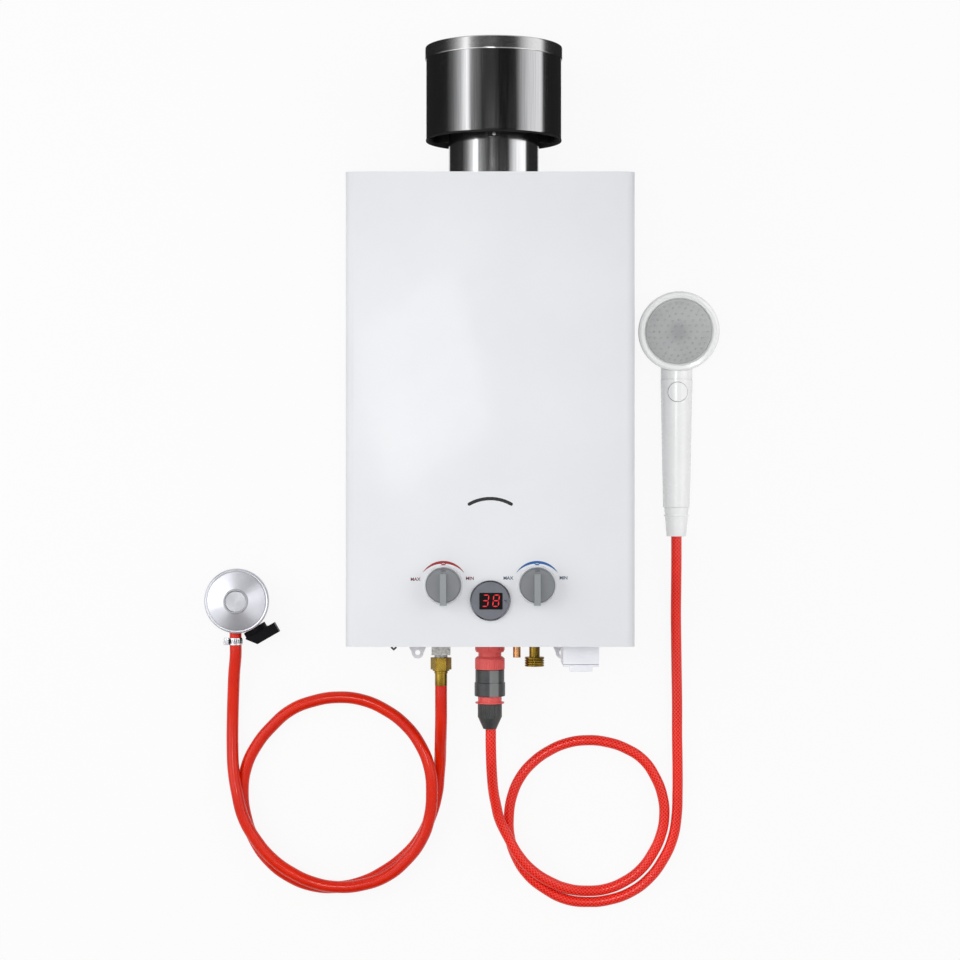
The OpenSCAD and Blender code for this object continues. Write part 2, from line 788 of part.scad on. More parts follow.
module exchanger_fins() color("orange") {
    depth = chamber_d - 2 * copper_t - 2 * fin_gap;
    pitch = (chamber_w - 16) / (fin_count - 1);
    for (k = [0 : fin_count - 1])
        translate([-(chamber_w - 16) / 2 + k * pitch - fin_t / 2, tube_y, flue_z])
            rotate([90, 0, 90]) linear_extrude(fin_t) difference() {
                translate([-fin_h / 2, -depth / 2]) square([fin_h, depth]);
                for (i = [0 : 3]) translate([0, tube_z(i) - flue_z])
                    circle(tube_r + fit);
            }
}

// The four tubes and the bends that join them, solid, at a given radius
module serpentine(r, extra) {
    x0 = chamber_w / 2 + tube_stub;
    x1 = chamber_w / 2 + tube_tail;
    for (i = [0 : 3]) {
        ends = (i == 0 || i == 3) ? x1 + extra : x0;
        translate([-x0, tube_y, tube_z(i)])
            rotate([0, 90, 0]) cylinder(r = r, h = x0 + ends);
    }
    for (i = [0, 2]) translate([-x0, tube_y, tube_z(i + 0.5)])
        rotate([90, 0, 0]) rotate([0, 0, 90]) rotate_extrude(angle = 180)
            translate([tube_pitch / 2, 0]) circle(r);
    translate([x0, tube_y, tube_z(1.5)])
        rotate([90, 0, 0]) rotate([0, 0, -90]) rotate_extrude(angle = 180)
            translate([tube_pitch / 2, 0]) circle(r);
}

module exchanger_tubes() color("orangered") difference() {
    serpentine(tube_r, 0);
    serpentine(tube_r - tube_wall, over);
}

module overheat_switch() color("black")
    translate([-chamber_w / 2, (chamber_y0 + tube_y) / 2, flue_z]) rotate([0, -90, 0]) {
        cylinder(r = 8, h = 5);
        cylinder(r = 5.5, h = 9);
    }

// ---- Burner --------------------------------------------------------------

module burner_tray() color("silver") {
    z0 = flue_z - burner_d / 2;
    translate([-burner_w / 2, burner_y0, z0])
        duct([burner_w, burner_h, burner_d], burner_wall);
    for (z = [z0 + burner_d / 4, z0 + 3 * burner_d / 4])
        translate([-burner_w / 2, burner_y0, z - rail_w / 2])
            cube([burner_w, rail_h, rail_w]);
    for (x = [-burner_w / 3, burner_w / 3]) foot(x, burner_y0 + 6, z0);
}

module burner_blades() color("gray") {
    l = burner_d - 2 * burner_wall - 2 * blade_gap;
    h = burner_h - rail_h - 4;
    pitch = (burner_w - 2 * burner_wall - 4 - blade_t) / (blade_count - 1);
    for (k = [0 : blade_count - 1])
        translate([(k - (blade_count - 1) / 2) * pitch - blade_t / 2,
            burner_y0 + rail_h, flue_z - l / 2]) difference() {
                cube([blade_t, h, l]);
                translate([blade_wall, blade_wall, blade_wall])
                    cube([blade_t - 2 * blade_wall, h - 2 * blade_wall, l - 2 * blade_wall]);
                for (p = [1 : port_count])
                    translate([1, h - port_depth, p * l / (port_count + 1)])
                        cube([blade_t - 2, port_depth + over, port_w]);
            }
}

module gas_manifold() color("silver") {
    translate([-manifold_l / 2, manifold_y, flue_z]) rotate([0, 90, 0])
        cylinder(r = manifold_r, h = manifold_l);
    pitch = (burner_w - 2 * burner_wall - 4 - blade_t) / (blade_count - 1);
    for (k = [0 : blade_count - 1])
        upwards((k - (blade_count - 1) / 2) * pitch, manifold_y, flue_z)
            cylinder(r = jet_r, h = burner_y0 - manifold_y - 1);
    downwards(-knob_x, manifold_y, flue_z)
        cylinder(r = spigot_r, h = manifold_y - valve_y1);
}

module electrodes() for (x = [-electrode_x, electrode_x]) {
    z = electrode_z;
    color("white") upwards(x, burner_y1 - ceramic_l, z) cylinder(r = ceramic_r, h = ceramic_l);
    color("gray") upwards(x, burner_y1 - ceramic_l - pin_past, z)
        cylinder(r = pin_r1, h = ceramic_l + 2 * pin_past);
    color("gray") translate([x, burner_y1 + pin_past, z - tip_l])
        cylinder(r = pin_r1, h = tip_l + pin_r1);
}

// ---- Valves --------------------------------------------------------------

module gas_valve() color("lightgray") difference() {
    union() {
        translate([-knob_x - valve_w / 2, valve_y0, valve_z0])
            cube([valve_w, valve_y1 - valve_y0, valve_z1 - valve_z0]);
        downwards(gas_x, valve_y0, fitting_z) cylinder(r = spigot_r, h = valve_y0 - fitting_top);
        translate([-knob_x, knob_y, valve_z1]) cylinder(r = boss_r, h = boss_z1 - valve_z1);
        translate([-knob_x - valve_w / 2 - coil_h, valve_y1 - coil_drop, coil_z])
            rotate([0, 90, 0]) cylinder(r = coil_r, h = coil_h);
    }
    translate([-knob_x, knob_y, spindle_z0 - 1])
        cylinder(r = spindle_bore_r, h = boss_z1);
}

module spindle(x) difference() {
    translate([x, knob_y, spindle_z0]) cylinder(r = spindle_r, h = spindle_z1 - spindle_z0);
    translate([x - spindle_r, knob_y + spindle_r - flat_cut, case_d + 3])
        cube([2 * spindle_r, spindle_r, spindle_z1]);
}

module gas_spindle() color("silver") spindle(-knob_x);
module water_spindle() color("silver") spindle(knob_x);

module water_valve() color("darkkhaki") difference() {
    union() {
        translate([water_x0, knob_y, water_z]) rotate([0, 90, 0])
            cylinder(r = water_r, h = water_x1 - water_x0);
        downwards(cold_x, knob_y, fitting_z)
            cylinder(r = spigot_r, h = knob_y - fitting_top);
        upwards(cold_pipe_x, knob_y, water_z)
            cylinder(r = spigot_r, h = valve_y1 + 10 - knob_y);
        translate([knob_x, knob_y, water_z]) cylinder(r = boss_r, h = boss_z1 - water_z);
    }
    translate([knob_x, knob_y, spindle_z0 - 1])
        cylinder(r = spindle_bore_r, h = boss_z1);
    translate([rod_x0 - 1, knob_y, water_z]) rotate([0, 90, 0])
        cylinder(r = rod_r + shaft_gap, h = water_x1);
}

module flow_rod() color("silver")
    translate([rod_x0, knob_y, water_z]) rotate([0, 90, 0])
        cylinder(r = rod_r, h = rod_x1 - rod_x0);

module micro_switch() color("black") {
    translate([switch_x, knob_y - switch_l / 2, water_z - switch_h / 2])
        cube([switch_w, switch_l, switch_h]);
    translate([switch_x + switch_w - 3, knob_y - switch_l / 2 + 2, sheet])
        cube([2, switch_l - 4, water_z - switch_h / 2 - sheet]);
}

module control_box() color("darkslategray") difference() {
    translate([control_x, control_y, sheet]) cube([control_w, control_l, control_h]);
    translate([control_x + 3, control_y + 3, sheet + control_h - 1])
        cube([control_w - 6, control_l - 6, 1 + over]);
}

// Where the black lead's loop peeks out of the base
loop_x = -104;
loop_z = 30;

module wiring() {
    top = sheet + control_h;
    cx = control_x + control_w;
    color("black") swept([[loop_x - 4, y_bot + 20, loop_z], [loop_x - 4, y_bot - 2, loop_z],
        [loop_x - 2, y_bot - 9, loop_z], [loop_x, y_bot - 11, loop_z],
        [loop_x + 2, y_bot - 9, loop_z], [loop_x + 4, y_bot - 2, loop_z],
        [loop_x + 4, control_y, loop_z]], lead_r, 8);
    color("red") swept([[cx - 8, control_y + 10, top - 1], [cx - 8, control_y + 10, top + 14],
        [cx + 2, control_y + 6, top + 50], [-32, display_y + 4, case_d - 16],
        [-bezel_tube_r + 3, display_y, case_d - 14]], lead_r, 8);
    color("yellow") swept([[cx - 20, control_y + control_l - 8, top - 1],
        [cx - 20, control_y + control_l - 8, top + 12],
        [cx - 10, control_y + control_l - 6, top + 50],
        [-60, burner_y0 - 16, case_d - 14], [-36, burner_y0 - 12, electrode_z],
        [-electrode_x, burner_y0 - 8, electrode_z],
        [-electrode_x, burner_y1 - ceramic_l - pin_past, electrode_z]], lead_r, 8);
    color("white") swept([[cx - 8, control_y + 26, top - 1], [cx - 8, control_y + 26, top + 8],
        [cx + 6, control_y + 18, top], [cx + 12, control_y - 6, 16],
        [-20, y_bot + 16, 14], [60, y_bot + 16, 14], [battery_x + 8, y_bot + 22, 18],
        [battery_x + 12, y_bot + 30, 27], [battery_x + 12, y_bot + 30, battery_z]],
        lead_r, 8);
}

// ---- Water pipes ---------------------------------------------------------

cold_pipe_x = cold_x + 12;
cold_pipe_r = 5.7;
pipe_bend = 10;                        // side pipes beyond the tube's ends
hot_stub_l = 20;
hot_stub_top = y_bot + hot_stub_l;     // upper end of the hot outlet's stub
hot_drop = 13;                         // hot pipe behind the chamber's front
drain_r = 4.15;

module water_pipes() {
    end_x = chamber_w / 2 + tube_tail;
    side_x = end_x + pipe_bend;
    low = valve_y1 + 10;
    hot_y = valve_y1 - 2;
    hot_z = chamber_z0 + chamber_d - hot_drop;
    cold_z = fitting_z - 10;
    color("peru") swept([[cold_pipe_x, low, water_z], [cold_pipe_x, low + 4, water_z],
        [cold_pipe_x + 5, low + 9, water_z - 3], [cold_pipe_x + 16, low + 10, cold_z + 6],
        [side_x - 16, low + 10, cold_z], [side_x - 4, low + 15, cold_z],
        [side_x, low + 26, cold_z], [side_x, tube_y - 20, tube_z(0)],
        [side_x, tube_y - 9, tube_z(0)], [side_x - 3, tube_y - 2, tube_z(0)],
        [end_x + 4, tube_y, tube_z(0)], [end_x, tube_y, tube_z(0)]], tube_r - 1, 10);
    color("peru") swept([[end_x, tube_y, tube_z(3)], [end_x + 4, tube_y, tube_z(3)],
        [side_x - 3, tube_y - 2, tube_z(3)], [side_x, tube_y - 9, tube_z(3)],
        [side_x, tube_y - 20, tube_z(3)], [side_x, hot_y + 24, hot_z],
        [side_x - 4, hot_y + 8, hot_z], [side_x - 18, hot_y, hot_z],
        [hot_x + 26, hot_y, hot_z - 4], [hot_x + 12, hot_y - 4, hot_z - 10],
        [hot_x + 4, hot_y - 14, hot_z - 22], [hot_x, hot_y - 30, fitting_z + 22],
        [hot_x, hot_y - 50, fitting_z + 5], [hot_x, hot_y - 62, fitting_z],
        [hot_x, hot_stub_top, fitting_z]], tube_r - 1, 10);
    color("goldenrod") {
        downwards(hot_x, hot_stub_top, fitting_z)
            cylinder(r = 8, h = hot_stub_top - y_bot - sheet);
        downwards(hot_x, y_bot + sheet + 3, fitting_z) cylinder(r = 14, h = 3);
        downwards(hot_x, y_bot + sheet + 3, fitting_z)
            cylinder(d = thread_d, h = y_bot + sheet + 3 - hot_stub_y);
    }
}

// ---- Battery box ---------------------------------------------------------

box_x1 = battery_x + box_w;

module battery_box() color("white") difference() {
    union() {
        translate([battery_x, box_y0, battery_z])
            cube([box_w, box_y1 - box_y0, box_d]);
        for (x = [battery_x + 1, box_x1 - 1 - knuckle_l]) {
            translate([x, hinge_y, hinge_z]) rotate([0, 90, 0])
                cylinder(r = knuckle_r, h = knuckle_l);
            translate([x, box_y0, hinge_z]) cube([knuckle_l, knuckle_r, knuckle_r + 1]);
        }
    }
    translate([battery_x + box_wall, box_y0 - over, battery_z + box_wall])
        cube([box_w - 2 * box_wall, box_y1 - box_y0 - box_wall + over,
            box_d - 2 * box_wall]);
    translate([battery_x, hinge_y, hinge_z]) rotate([0, 90, 0])
        cylinder(r = pin_r + shaft_gap, h = box_w);
}

module battery_lid() color("white") {
    top = box_y0 - run;
    knuckle_x = battery_x + 1 + knuckle_l + run;
    difference() {
        union() {
            translate([battery_x, top - lid_t, battery_z + 1])
                cube([box_w, lid_t, box_d - 1]);
            translate([knuckle_x, hinge_y, hinge_z]) rotate([0, 90, 0])
                cylinder(r = knuckle_r, h = box_w - 2 * (1 + knuckle_l + run));
            translate([knuckle_x, top - lid_t, hinge_z])
                cube([box_w - 2 * (1 + knuckle_l + run), lid_t, battery_z - hinge_z + 2]);
            translate([(battery_x + box_x1 - tab_l) / 2, top - lid_t - tab_drop,
                battery_z + box_d - tab_t]) cube([tab_l, tab_drop + lid_t, tab_t]);
        }
        translate([battery_x, hinge_y, hinge_z]) rotate([0, 90, 0])
            cylinder(r = pin_r + shaft_gap, h = box_w);
    }
}

module lid_pin() color("silver")
    translate([battery_x + 1, hinge_y, hinge_z]) rotate([0, 90, 0])
        cylinder(r = pin_r, h = box_w - 2);

function cell_z(i) = battery_z + box_wall + (i + 0.5) * cell_bay;
cell_x = battery_x + box_w / 2;

module batteries() for (i = [0, 1])
    color("saddlebrown") upwards(cell_x, box_y0 + run, cell_z(i)) {
        cylinder(d = cell_d, h = cell_l - 1.5);
        cylinder(d = 9.5, h = cell_l);
    }

module battery_contacts() color("gold") for (i = [0, 1]) {
    upwards(cell_x, box_y0 + run + cell_l + fit, cell_z(i))
        cylinder(r1 = 5, r2 = 9, h = spring_l - run - fit);
    translate([cell_x - 11, box_y1 - box_wall - contact_t, cell_z(i) - 11])
        cube([22, contact_t, 22]);
}

// ---- Display and knobs ---------------------------------------------------

module display_bezel() color("silver") translate([0, display_y, case_d])
    rotate_extrude() polygon([[bezel_tube_r - bezel_wall, -bezel_tube_l],
        [bezel_tube_r, -bezel_tube_l], [bezel_tube_r, 0], [bezel_r, 0],
        [bezel_r, bezel_lip_h - 1.5], [bezel_r - 1, bezel_lip_h - 0.4],
        [bezel_r - 2, bezel_lip_h], [bezel_tube_r + 0.6, bezel_lip_h - 0.3],
        [bezel_tube_r, bezel_lip_h - 1.4], [bezel_tube_r - bezel_wall, bezel_lip_h - 2]]);

module display_panel() color("slategray")
    translate([0, display_y, case_d + bezel_lip_h - 2 - panel_t])
        cylinder(r = bezel_tube_r - bezel_wall - fit, h = panel_t);

module display_board() color("darkgreen") {
    z1 = case_d + bezel_lip_h - 2 - panel_t;
    r = bezel_tube_r - bezel_wall - fit;
    translate([0, display_y, case_d - bezel_tube_l + 2]) cylinder(r = r, h = board_t);
    for (x = [-6, 6]) translate([x - 5.5, display_y - 7, case_d - bezel_tube_l + 2])
        cube([11, 14, z1 - case_d + bezel_tube_l - 2]);
}

module knob_collars() color("whitesmoke")
    for (s = [-1, 1]) translate([s * knob_x, knob_y, case_d])
        rotate_extrude() polygon([[spindle_hole_r, 0], [collar_d / 2, 0],
            [collar_d / 2, 1.2], [collar_d / 2 - 0.8, knob_collar_t],
            [spindle_hole_r, knob_collar_t]]);

module knob(x) difference() {
    translate([x, knob_y, 0]) {
        translate([0, 0, knob_z0]) rotate_extrude() polygon([[0, 0],
            [knob_r, 0], [knob_r - 0.2, knob_h * 0.6], [knob_r - 0.6, knob_h - 1],
            [knob_r - 1.6, knob_h], [0, knob_h]]);
        translate([-bar_w / 2, bar_up - bar_l, knob_z0 + 3])
            cube([bar_w, bar_l, knob_h + bar_h - 3]);
    }
    translate([x, knob_y, knob_z0 - over])
        cylinder(r = spindle_bore_r, h = spindle_z1 - knob_z0 + over + fit);
}

module gas_knob() color("gray") knob(-knob_x);
module water_knob() color("gray") knob(knob_x);

// ---- Gas inlet and hose --------------------------------------------------

module gas_inlet() color("silver") {
    translate([gas_x - block_w / 2, block_y, fitting_z - block_w / 2])
        cube([block_w, y_bot + 4 - block_y, block_w]);
    downwards(gas_x, fitting_top, fitting_z) cylinder(r = 8.5, h = fitting_top - y_bot - 4);
    downwards(gas_x, block_y, fitting_z) cylinder(r = neck_r, h = block_y - neck_y);
}

module gas_union_nut() color("goldenrod") difference() {
    downwards(gas_x, neck_y, fitting_z) {
        cylinder(r = union_r, h = neck_y - union_y - 1.5, $fn = 6);
        cylinder(r = union_af / 2 - 0.8, h = neck_y - union_y);
    }
    downwards(gas_x, neck_y - 3, fitting_z)
        cylinder(r = ferrule_r + fit, h = neck_y - union_y);
}

module gas_hose_ferrule() color("goldenrod")
    downwards(gas_x, neck_y - 3 - fit, fitting_z) {
        cylinder(r = ferrule_r, h = neck_y - 3 - fit - ferrule_y);
        translate([0, 0, 12]) washer(ferrule_r + 0.7, ferrule_r - 1, 2);
    }

module gas_hose() color("orangered") swept(gas_route, gas_hose_d / 2, hose_sides);

module hose_clamp() color("silver") {
    r = gas_hose_d / 2 + fit;
    y = reg_y - barb_len - clamp_back;
    x = reg_x + barb_dx;
    downwards(x, y, barb_z) washer(r + clamp_t, r, clamp_w);
    translate([x - r - clamp_t - 5, y - clamp_w, barb_z - 4]) cube([5.4, clamp_w, 9]);
    translate([x - r - clamp_t - 2.5, y - clamp_w / 2, barb_z - 9])
        cylinder(r = 2, h = 5);
    translate([x - r - clamp_t - 2.5, y - clamp_w / 2, barb_z + 5])
        cylinder(r = 3.2, h = 2.5, $fn = 6);
}

// ---- Regulator -----------------------------------------------------------

module regulator_cover() color("silver") translate([reg_x, reg_y, reg_rim_z])
    rotate_extrude() polygon([[0, reg_h - reg_rim_z - 1.2],
        [reg_boss_r - 2.2, reg_h - reg_rim_z - 1.2], [reg_boss_r - 1.6, reg_h - reg_rim_z],
        [reg_boss_r - 0.6, reg_h - reg_rim_z], [reg_boss_r, reg_h - reg_rim_z - 1.8],
        [reg_d / 2 - 4, 6], [reg_d / 2 - 3.2, 4.8], [reg_d / 2 - 1.6, 5.4],
        [reg_d / 2 - 0.5, 4.6], [reg_d / 2, 3.4], [reg_d / 2, 0.8],
        [reg_d / 2 - 0.8, 0], [0, 0]]);

module regulator_base() color("darkgray") difference() {
    union() {
        translate([reg_x, reg_y, coupling_h]) rotate_extrude() polygon([[0, 0],
            [reg_body_r, 0], [reg_body_r, 9], [reg_d / 2 - 3, reg_rim_z - coupling_h - 3],
            [reg_d / 2 - 1.4, reg_rim_z - coupling_h], [0, reg_rim_z - coupling_h]]);
        downwards(reg_x + barb_dx, reg_y - 12, barb_z + 2) cylinder(r = 6, h = 14);
        downwards(reg_x + barb_dx, reg_y - tap_root, barb_z)
            cylinder(r = 4.5, h = barb_len - tap_root);
        translate([reg_x, reg_y, tap_z]) rotate([0, 0, tap_angle])
            translate([tap_root, 0, 0]) rotate([0, 90, 0])
                cylinder(r = 8, h = tap_end - tap_root);
    }
    translate([reg_x, reg_y, coupling_h - over])
        cylinder(r = coupling_bore / 2 - 2.5, h = 8);
}

// The black coupling that clips on a cylinder's valve
module regulator_coupling() color("black") translate([reg_x, reg_y, 0]) {
    rotate_extrude() polygon([[coupling_bore / 2, 0],
        [coupling_bore / 2 + coupling_wall - 1, 0],
        [coupling_bore / 2 + coupling_wall, 1],
        [coupling_bore / 2 + coupling_wall, coupling_h],
        [coupling_bore / 2, coupling_h]]);
}

// The tap's lever, drawn in its own frame: X out along the tap's axis, Y along
// the lever
module regulator_lever() color("black")
    translate([reg_x, reg_y, tap_z]) rotate([0, 0, tap_angle])
        translate([tap_end + run, 0, 0]) {
            rotate([0, 90, 0]) cylinder(r = lever_r - 0.5, h = lever_base);
            translate([lever_base, 0, 0]) linear_extrude(lever_t, center = true)
                polygon([[0, -lever_r + 0.4], [1.2, -lever_r], [lever_l - lever_base, -5],
                    [lever_l - lever_base, lever_reach], [lever_l - lever_base - 11.5,
                    lever_reach], [lever_l - lever_base - 11.5, lever_r], [0, lever_r]]);
        }

// ---- Water fittings ------------------------------------------------------

module cold_inlet() color("goldenrod") {
    ring = 9.3;
    downwards(cold_x, fitting_top, fitting_z) {
        cylinder(r = cold_pipe_r, h = fitting_top - y_bot + 18);
        translate([0, 0, 12 - sheet - 3]) cylinder(r = 9, h = 3);
    }
    downwards(cold_x, y_bot - 17.5, fitting_z) difference() {
        cylinder(d = thread_d, h = 10);
        for (z = [2.2, 4.8, 7.4]) translate([0, 0, z])
            washer(thread_d, ring, 0.9);
        translate([0, 0, 5]) cylinder(r = 7, h = 10);
    }
}

module drain_plug() color("goldenrod") {
    downwards(drain_x, y_bot + 8, fitting_z) cylinder(r = drain_r, h = 26);
    downwards(drain_x, y_bot + sheet + 4, fitting_z) cylinder(r = 6, h = 4);
    translate([drain_x, y_bot + 5, fitting_z - 2.5])
        cube([cold_x - drain_x - cold_pipe_r, 3, 5]);
}

module tap_adapter() color("crimson") difference() {
    downwards(hot_x, hot_stub_y + 2 - fit, fitting_z) rotate_extrude() polygon([[0, 0],
        [adapter_r - 0.8, 0], [adapter_r, 0.8], [adapter_r, 8.5], [adapter_r - 1.2, 11],
        [adapter_neck_r, 11], [adapter_neck_r, hot_stub_y + 2 - adapter_neck_y],
        [0, hot_stub_y + 2 - adapter_neck_y]]);
    downwards(hot_x, hot_stub_y + 3, fitting_z) cylinder(d = thread_d + 2 * fit, h = 7);
    for (a = [0 : 360 / 8 : 359]) downwards(hot_x, hot_stub_y + 3, fitting_z)
        rotate([0, 0, a]) translate([adapter_r + 1.2, 0, 0]) cylinder(r = 2, h = 9.5);
}

module connector_body() color("crimson") {
    top = adapter_neck_y - fit;
    downwards(hot_x, top, fitting_z) {
        difference() {
            rotate_extrude() polygon([[0, 0], [connector_r - 2, 0], [connector_r, 2],
                [connector_r, top - ring_y], [0, top - ring_y]]);
            for (k = [0 : rib_count - 1]) rotate([0, 0, k * 360 / rib_count])
                translate([connector_r + 0.4, 0, 3])
                    cylinder(r = 0.8, h = top - ring_y);
        }
        cylinder(r = connector_core_r, h = top - connector_y);
        translate([0, 0, top - wing_y]) cylinder(r = connector_r - 0.4, h = wing_t);
    }
}

module connector_sleeve() color("dimgray") difference() {
    downwards(hot_x, ring_y - run, fitting_z) rotate_extrude() polygon([
        [connector_core_r + run, 0], [connector_r - 0.9, 0], [connector_r - 0.4, 0.8],
        [connector_r - 0.4, 13.4], [connector_r + 0.5, 14.2],
        [connector_r + 0.5, ring_y - sleeve_y - 1], [connector_r, ring_y - sleeve_y - run],
        [connector_core_r + run, ring_y - sleeve_y - run]]);
}

module hose_nut() color("darkslategray") difference() {
    downwards(hot_x, connector_y, fitting_z) rotate_extrude() polygon([[0, 0],
        [nut_r - 0.8, 0], [nut_r, 0.8], [nut_r, nut_straight],
        [7.6, nut_straight + nut_cone - 1], [7.2, nut_straight + nut_cone],
        [0, nut_straight + nut_cone]]);
    for (k = [0 : flute_count - 1]) downwards(hot_x, connector_y - 1.2, fitting_z)
        rotate([0, 0, (k + 0.5) * 360 / flute_count]) translate([nut_r + 0.6, 0, 0])
            cylinder(r = 1.3, h = nut_straight + 3);
}

module shower_hose() color("red") swept(shower_route, shower_hose_d / 2, hose_sides);

// ---- Hand shower ---------------------------------------------------------

// Puts its child in the head's frame: origin at the face's centre, Z out of it
module on_head() translate([shower_x, head_y, head_z]) rotate([head_tilt, 0, 0])
    children();

// The handle's cone lies on its side, so its axis falls towards the tail
module handle_solid(grow) {
    fall = (handle_d1 - handle_d2) / 2;
    length = norm([handle_y1 - handle_y2, fall]);
    more = 4;
    k = fall / length * more;
    intersection() {
        translate([shower_x, handle_y1, handle_d1 / 2])
            rotate([90 + atan2(fall, handle_y1 - handle_y2), 0, 0])
                translate([0, 0, -more]) cylinder(r1 = handle_d1 / 2 + k + grow,
                    r2 = handle_d2 / 2 - k + grow, h = length + 2 * more);
        translate([shower_x - handle_d1, handle_y2, -grow])
            cube([2 * handle_d1, handle_y1 - handle_y2, 2 * handle_d1]);
    }
}

// The neck bends up under the head
module neck(r) {
    y1 = handle_y1 + neck_l;
    translate([shower_x, y1, handle_d1 / 2 + neck_bend]) {
        rotate([0, 90, 0]) rotate_extrude(angle = neck_turn)
            translate([neck_bend, 0]) circle(r);
        rotate([neck_turn, 0, 0]) translate([0, 0, -neck_bend]) rotate([-90, 0, 0])
            cylinder(r = r, h = neck_end);
    }
}

module shower_head() color("white") difference() {
    union() {
        on_head() rotate_extrude() polygon([[0, -26], [14, -25.4], [26, -22.6],
            [35, -17.5], [head_r - 2.2, -10], [head_r, -4], [head_r, -1],
            [head_r - 1, 0.8], [head_r - 3, 1.6], [spray_r + 2, 0.6],
            [spray_r + fit, -spray_t], [spray_r - 3, -spray_t - 0.2], [30, -13],
            [20, -18], [0, -20]]);
        upwards(shower_x, handle_y1 + fit, handle_d1 / 2)
            cylinder(r = handle_d1 / 2 - fit, h = neck_l - fit);
        difference() {
            neck(handle_d1 / 2 - fit);
            on_head() translate([0, 0, -1]) cylinder(r = head_d, h = head_d);
            on_head() translate([0, 0, -spray_t - 1]) cylinder(r = spray_r + 1, h = head_d);
            on_head() translate([0, 0, -14]) cylinder(r = spray_r - 4, h = head_d);
        }
    }
    upwards(shower_x, handle_y1 - over, handle_d1 / 2) cylinder(r = 8, h = neck_l);
}

module spray_plate() color("gray") on_head()
    translate([0, 0, -spray_t + fit]) rotate_extrude() polygon([[0, 0], [spray_r, 0],
        [spray_r, 1.2], [spray_r - 1.6, 2], [0, 2.4]]);

module shower_handle() color("white") difference() {
    handle_solid(0);
    translate([shower_x, button_y, button_z0 - button_travel - 0.6])
        cylinder(r = button_r + run, h = handle_d1);
    downwards(shower_x, handle_y1 + over, tail_z) cylinder(r = water_bore_r, h = 30);
    downwards(shower_x, handle_y2 + 40, tail_z) cylinder(r = water_bore_r, h = 50);
}

module shower_button() color("white") intersection() {
    translate([shower_x, button_y, button_z0]) cylinder(r = button_r, h = handle_d1);
    handle_solid(1.2);
}

module shower_tail() color("white")
    downwards(shower_x, handle_y2 - fit, tail_z) {
        cylinder(r1 = tail_r1, r2 = tail_r2, h = handle_y2 - fit - tail_y);
        translate([0, 0, 8]) washer(tail_r1 + 0.3, tail_r2, 1.6);
    }

// ---- The nodes -----------------------------------------------------------

back_plate();
front_cover();
base_panel();
screws();
view_window();
flue_collar();
flue_pipe();
cap_drum();
cap_lid();
cap_straps();
flue_hood();
exchanger_shell();
exchanger_fins();
exchanger_tubes();
burner_tray();
burner_blades();
gas_manifold();
electrodes();
overheat_switch();
gas_valve();
gas_spindle();
water_valve();
water_spindle();
flow_rod();
micro_switch();
control_box();
wiring();
water_pipes();
battery_box();
battery_lid();
lid_pin();
batteries();
battery_contacts();
display_bezel();
display_panel();
display_board();
knob_collars();
gas_knob();
water_knob();
gas_inlet();
gas_union_nut();
gas_hose_ferrule();
gas_hose();
hose_clamp();
regulator_cover();
regulator_base();
regulator_coupling();
regulator_lever();
cold_inlet();
drain_plug();
tap_adapter();
connector_sleeve();
connector_body();
hose_nut();
shower_hose();
shower_head();
spray_plate();
shower_handle();
shower_button();
shower_tail();
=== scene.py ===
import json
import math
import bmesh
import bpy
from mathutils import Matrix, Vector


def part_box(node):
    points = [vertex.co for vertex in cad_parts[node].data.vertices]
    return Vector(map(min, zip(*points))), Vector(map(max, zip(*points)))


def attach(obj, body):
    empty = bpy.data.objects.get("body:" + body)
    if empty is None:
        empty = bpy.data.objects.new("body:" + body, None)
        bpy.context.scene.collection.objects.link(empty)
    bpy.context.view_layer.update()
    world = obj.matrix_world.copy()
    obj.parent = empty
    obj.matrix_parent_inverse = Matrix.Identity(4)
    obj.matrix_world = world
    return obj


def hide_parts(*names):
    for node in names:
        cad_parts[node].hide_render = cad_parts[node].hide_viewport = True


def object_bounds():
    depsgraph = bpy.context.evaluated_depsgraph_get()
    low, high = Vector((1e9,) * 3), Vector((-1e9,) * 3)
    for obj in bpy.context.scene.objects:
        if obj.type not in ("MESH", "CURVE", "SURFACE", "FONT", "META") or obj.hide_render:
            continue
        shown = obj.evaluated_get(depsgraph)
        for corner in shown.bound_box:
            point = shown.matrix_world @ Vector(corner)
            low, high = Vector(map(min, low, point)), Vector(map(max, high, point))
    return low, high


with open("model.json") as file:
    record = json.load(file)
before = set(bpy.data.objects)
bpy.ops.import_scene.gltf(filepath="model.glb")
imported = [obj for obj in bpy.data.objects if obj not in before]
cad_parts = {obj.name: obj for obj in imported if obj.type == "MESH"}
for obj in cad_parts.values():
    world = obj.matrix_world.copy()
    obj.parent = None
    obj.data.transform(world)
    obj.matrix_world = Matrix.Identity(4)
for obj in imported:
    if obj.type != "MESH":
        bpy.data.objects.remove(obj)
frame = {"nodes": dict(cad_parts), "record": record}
cad_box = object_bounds()

# %% [markdown]
# # A portable gas water heater, laid out with its hoses
# The heater lies on its back on a white table, with the flue at the top of the picture.
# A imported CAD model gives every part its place, and this script dresses it: it adds
# finer shapes where the eye rests, and a material for every surface.
# Blender works in metres: X runs to the right, Y up the heater, Z towards the viewer.
# Most sizes below are written in millimetres, as on a drawing, and MM makes them metres.

nodes = frame["nodes"]
MM = 0.001
print("parts in the frame:", len(nodes))


# %% Small helpers
def tone(red, green, blue):
    """A colour as a picture stores it, 0 to 255, made linear for the shader."""
    linear = []
    for value in (red, green, blue):
        share = value / 255
        linear.append(share / 12.92 if share <= 0.04045 else ((share + 0.055) / 1.055) ** 2.4)
    return (*linear, 1)


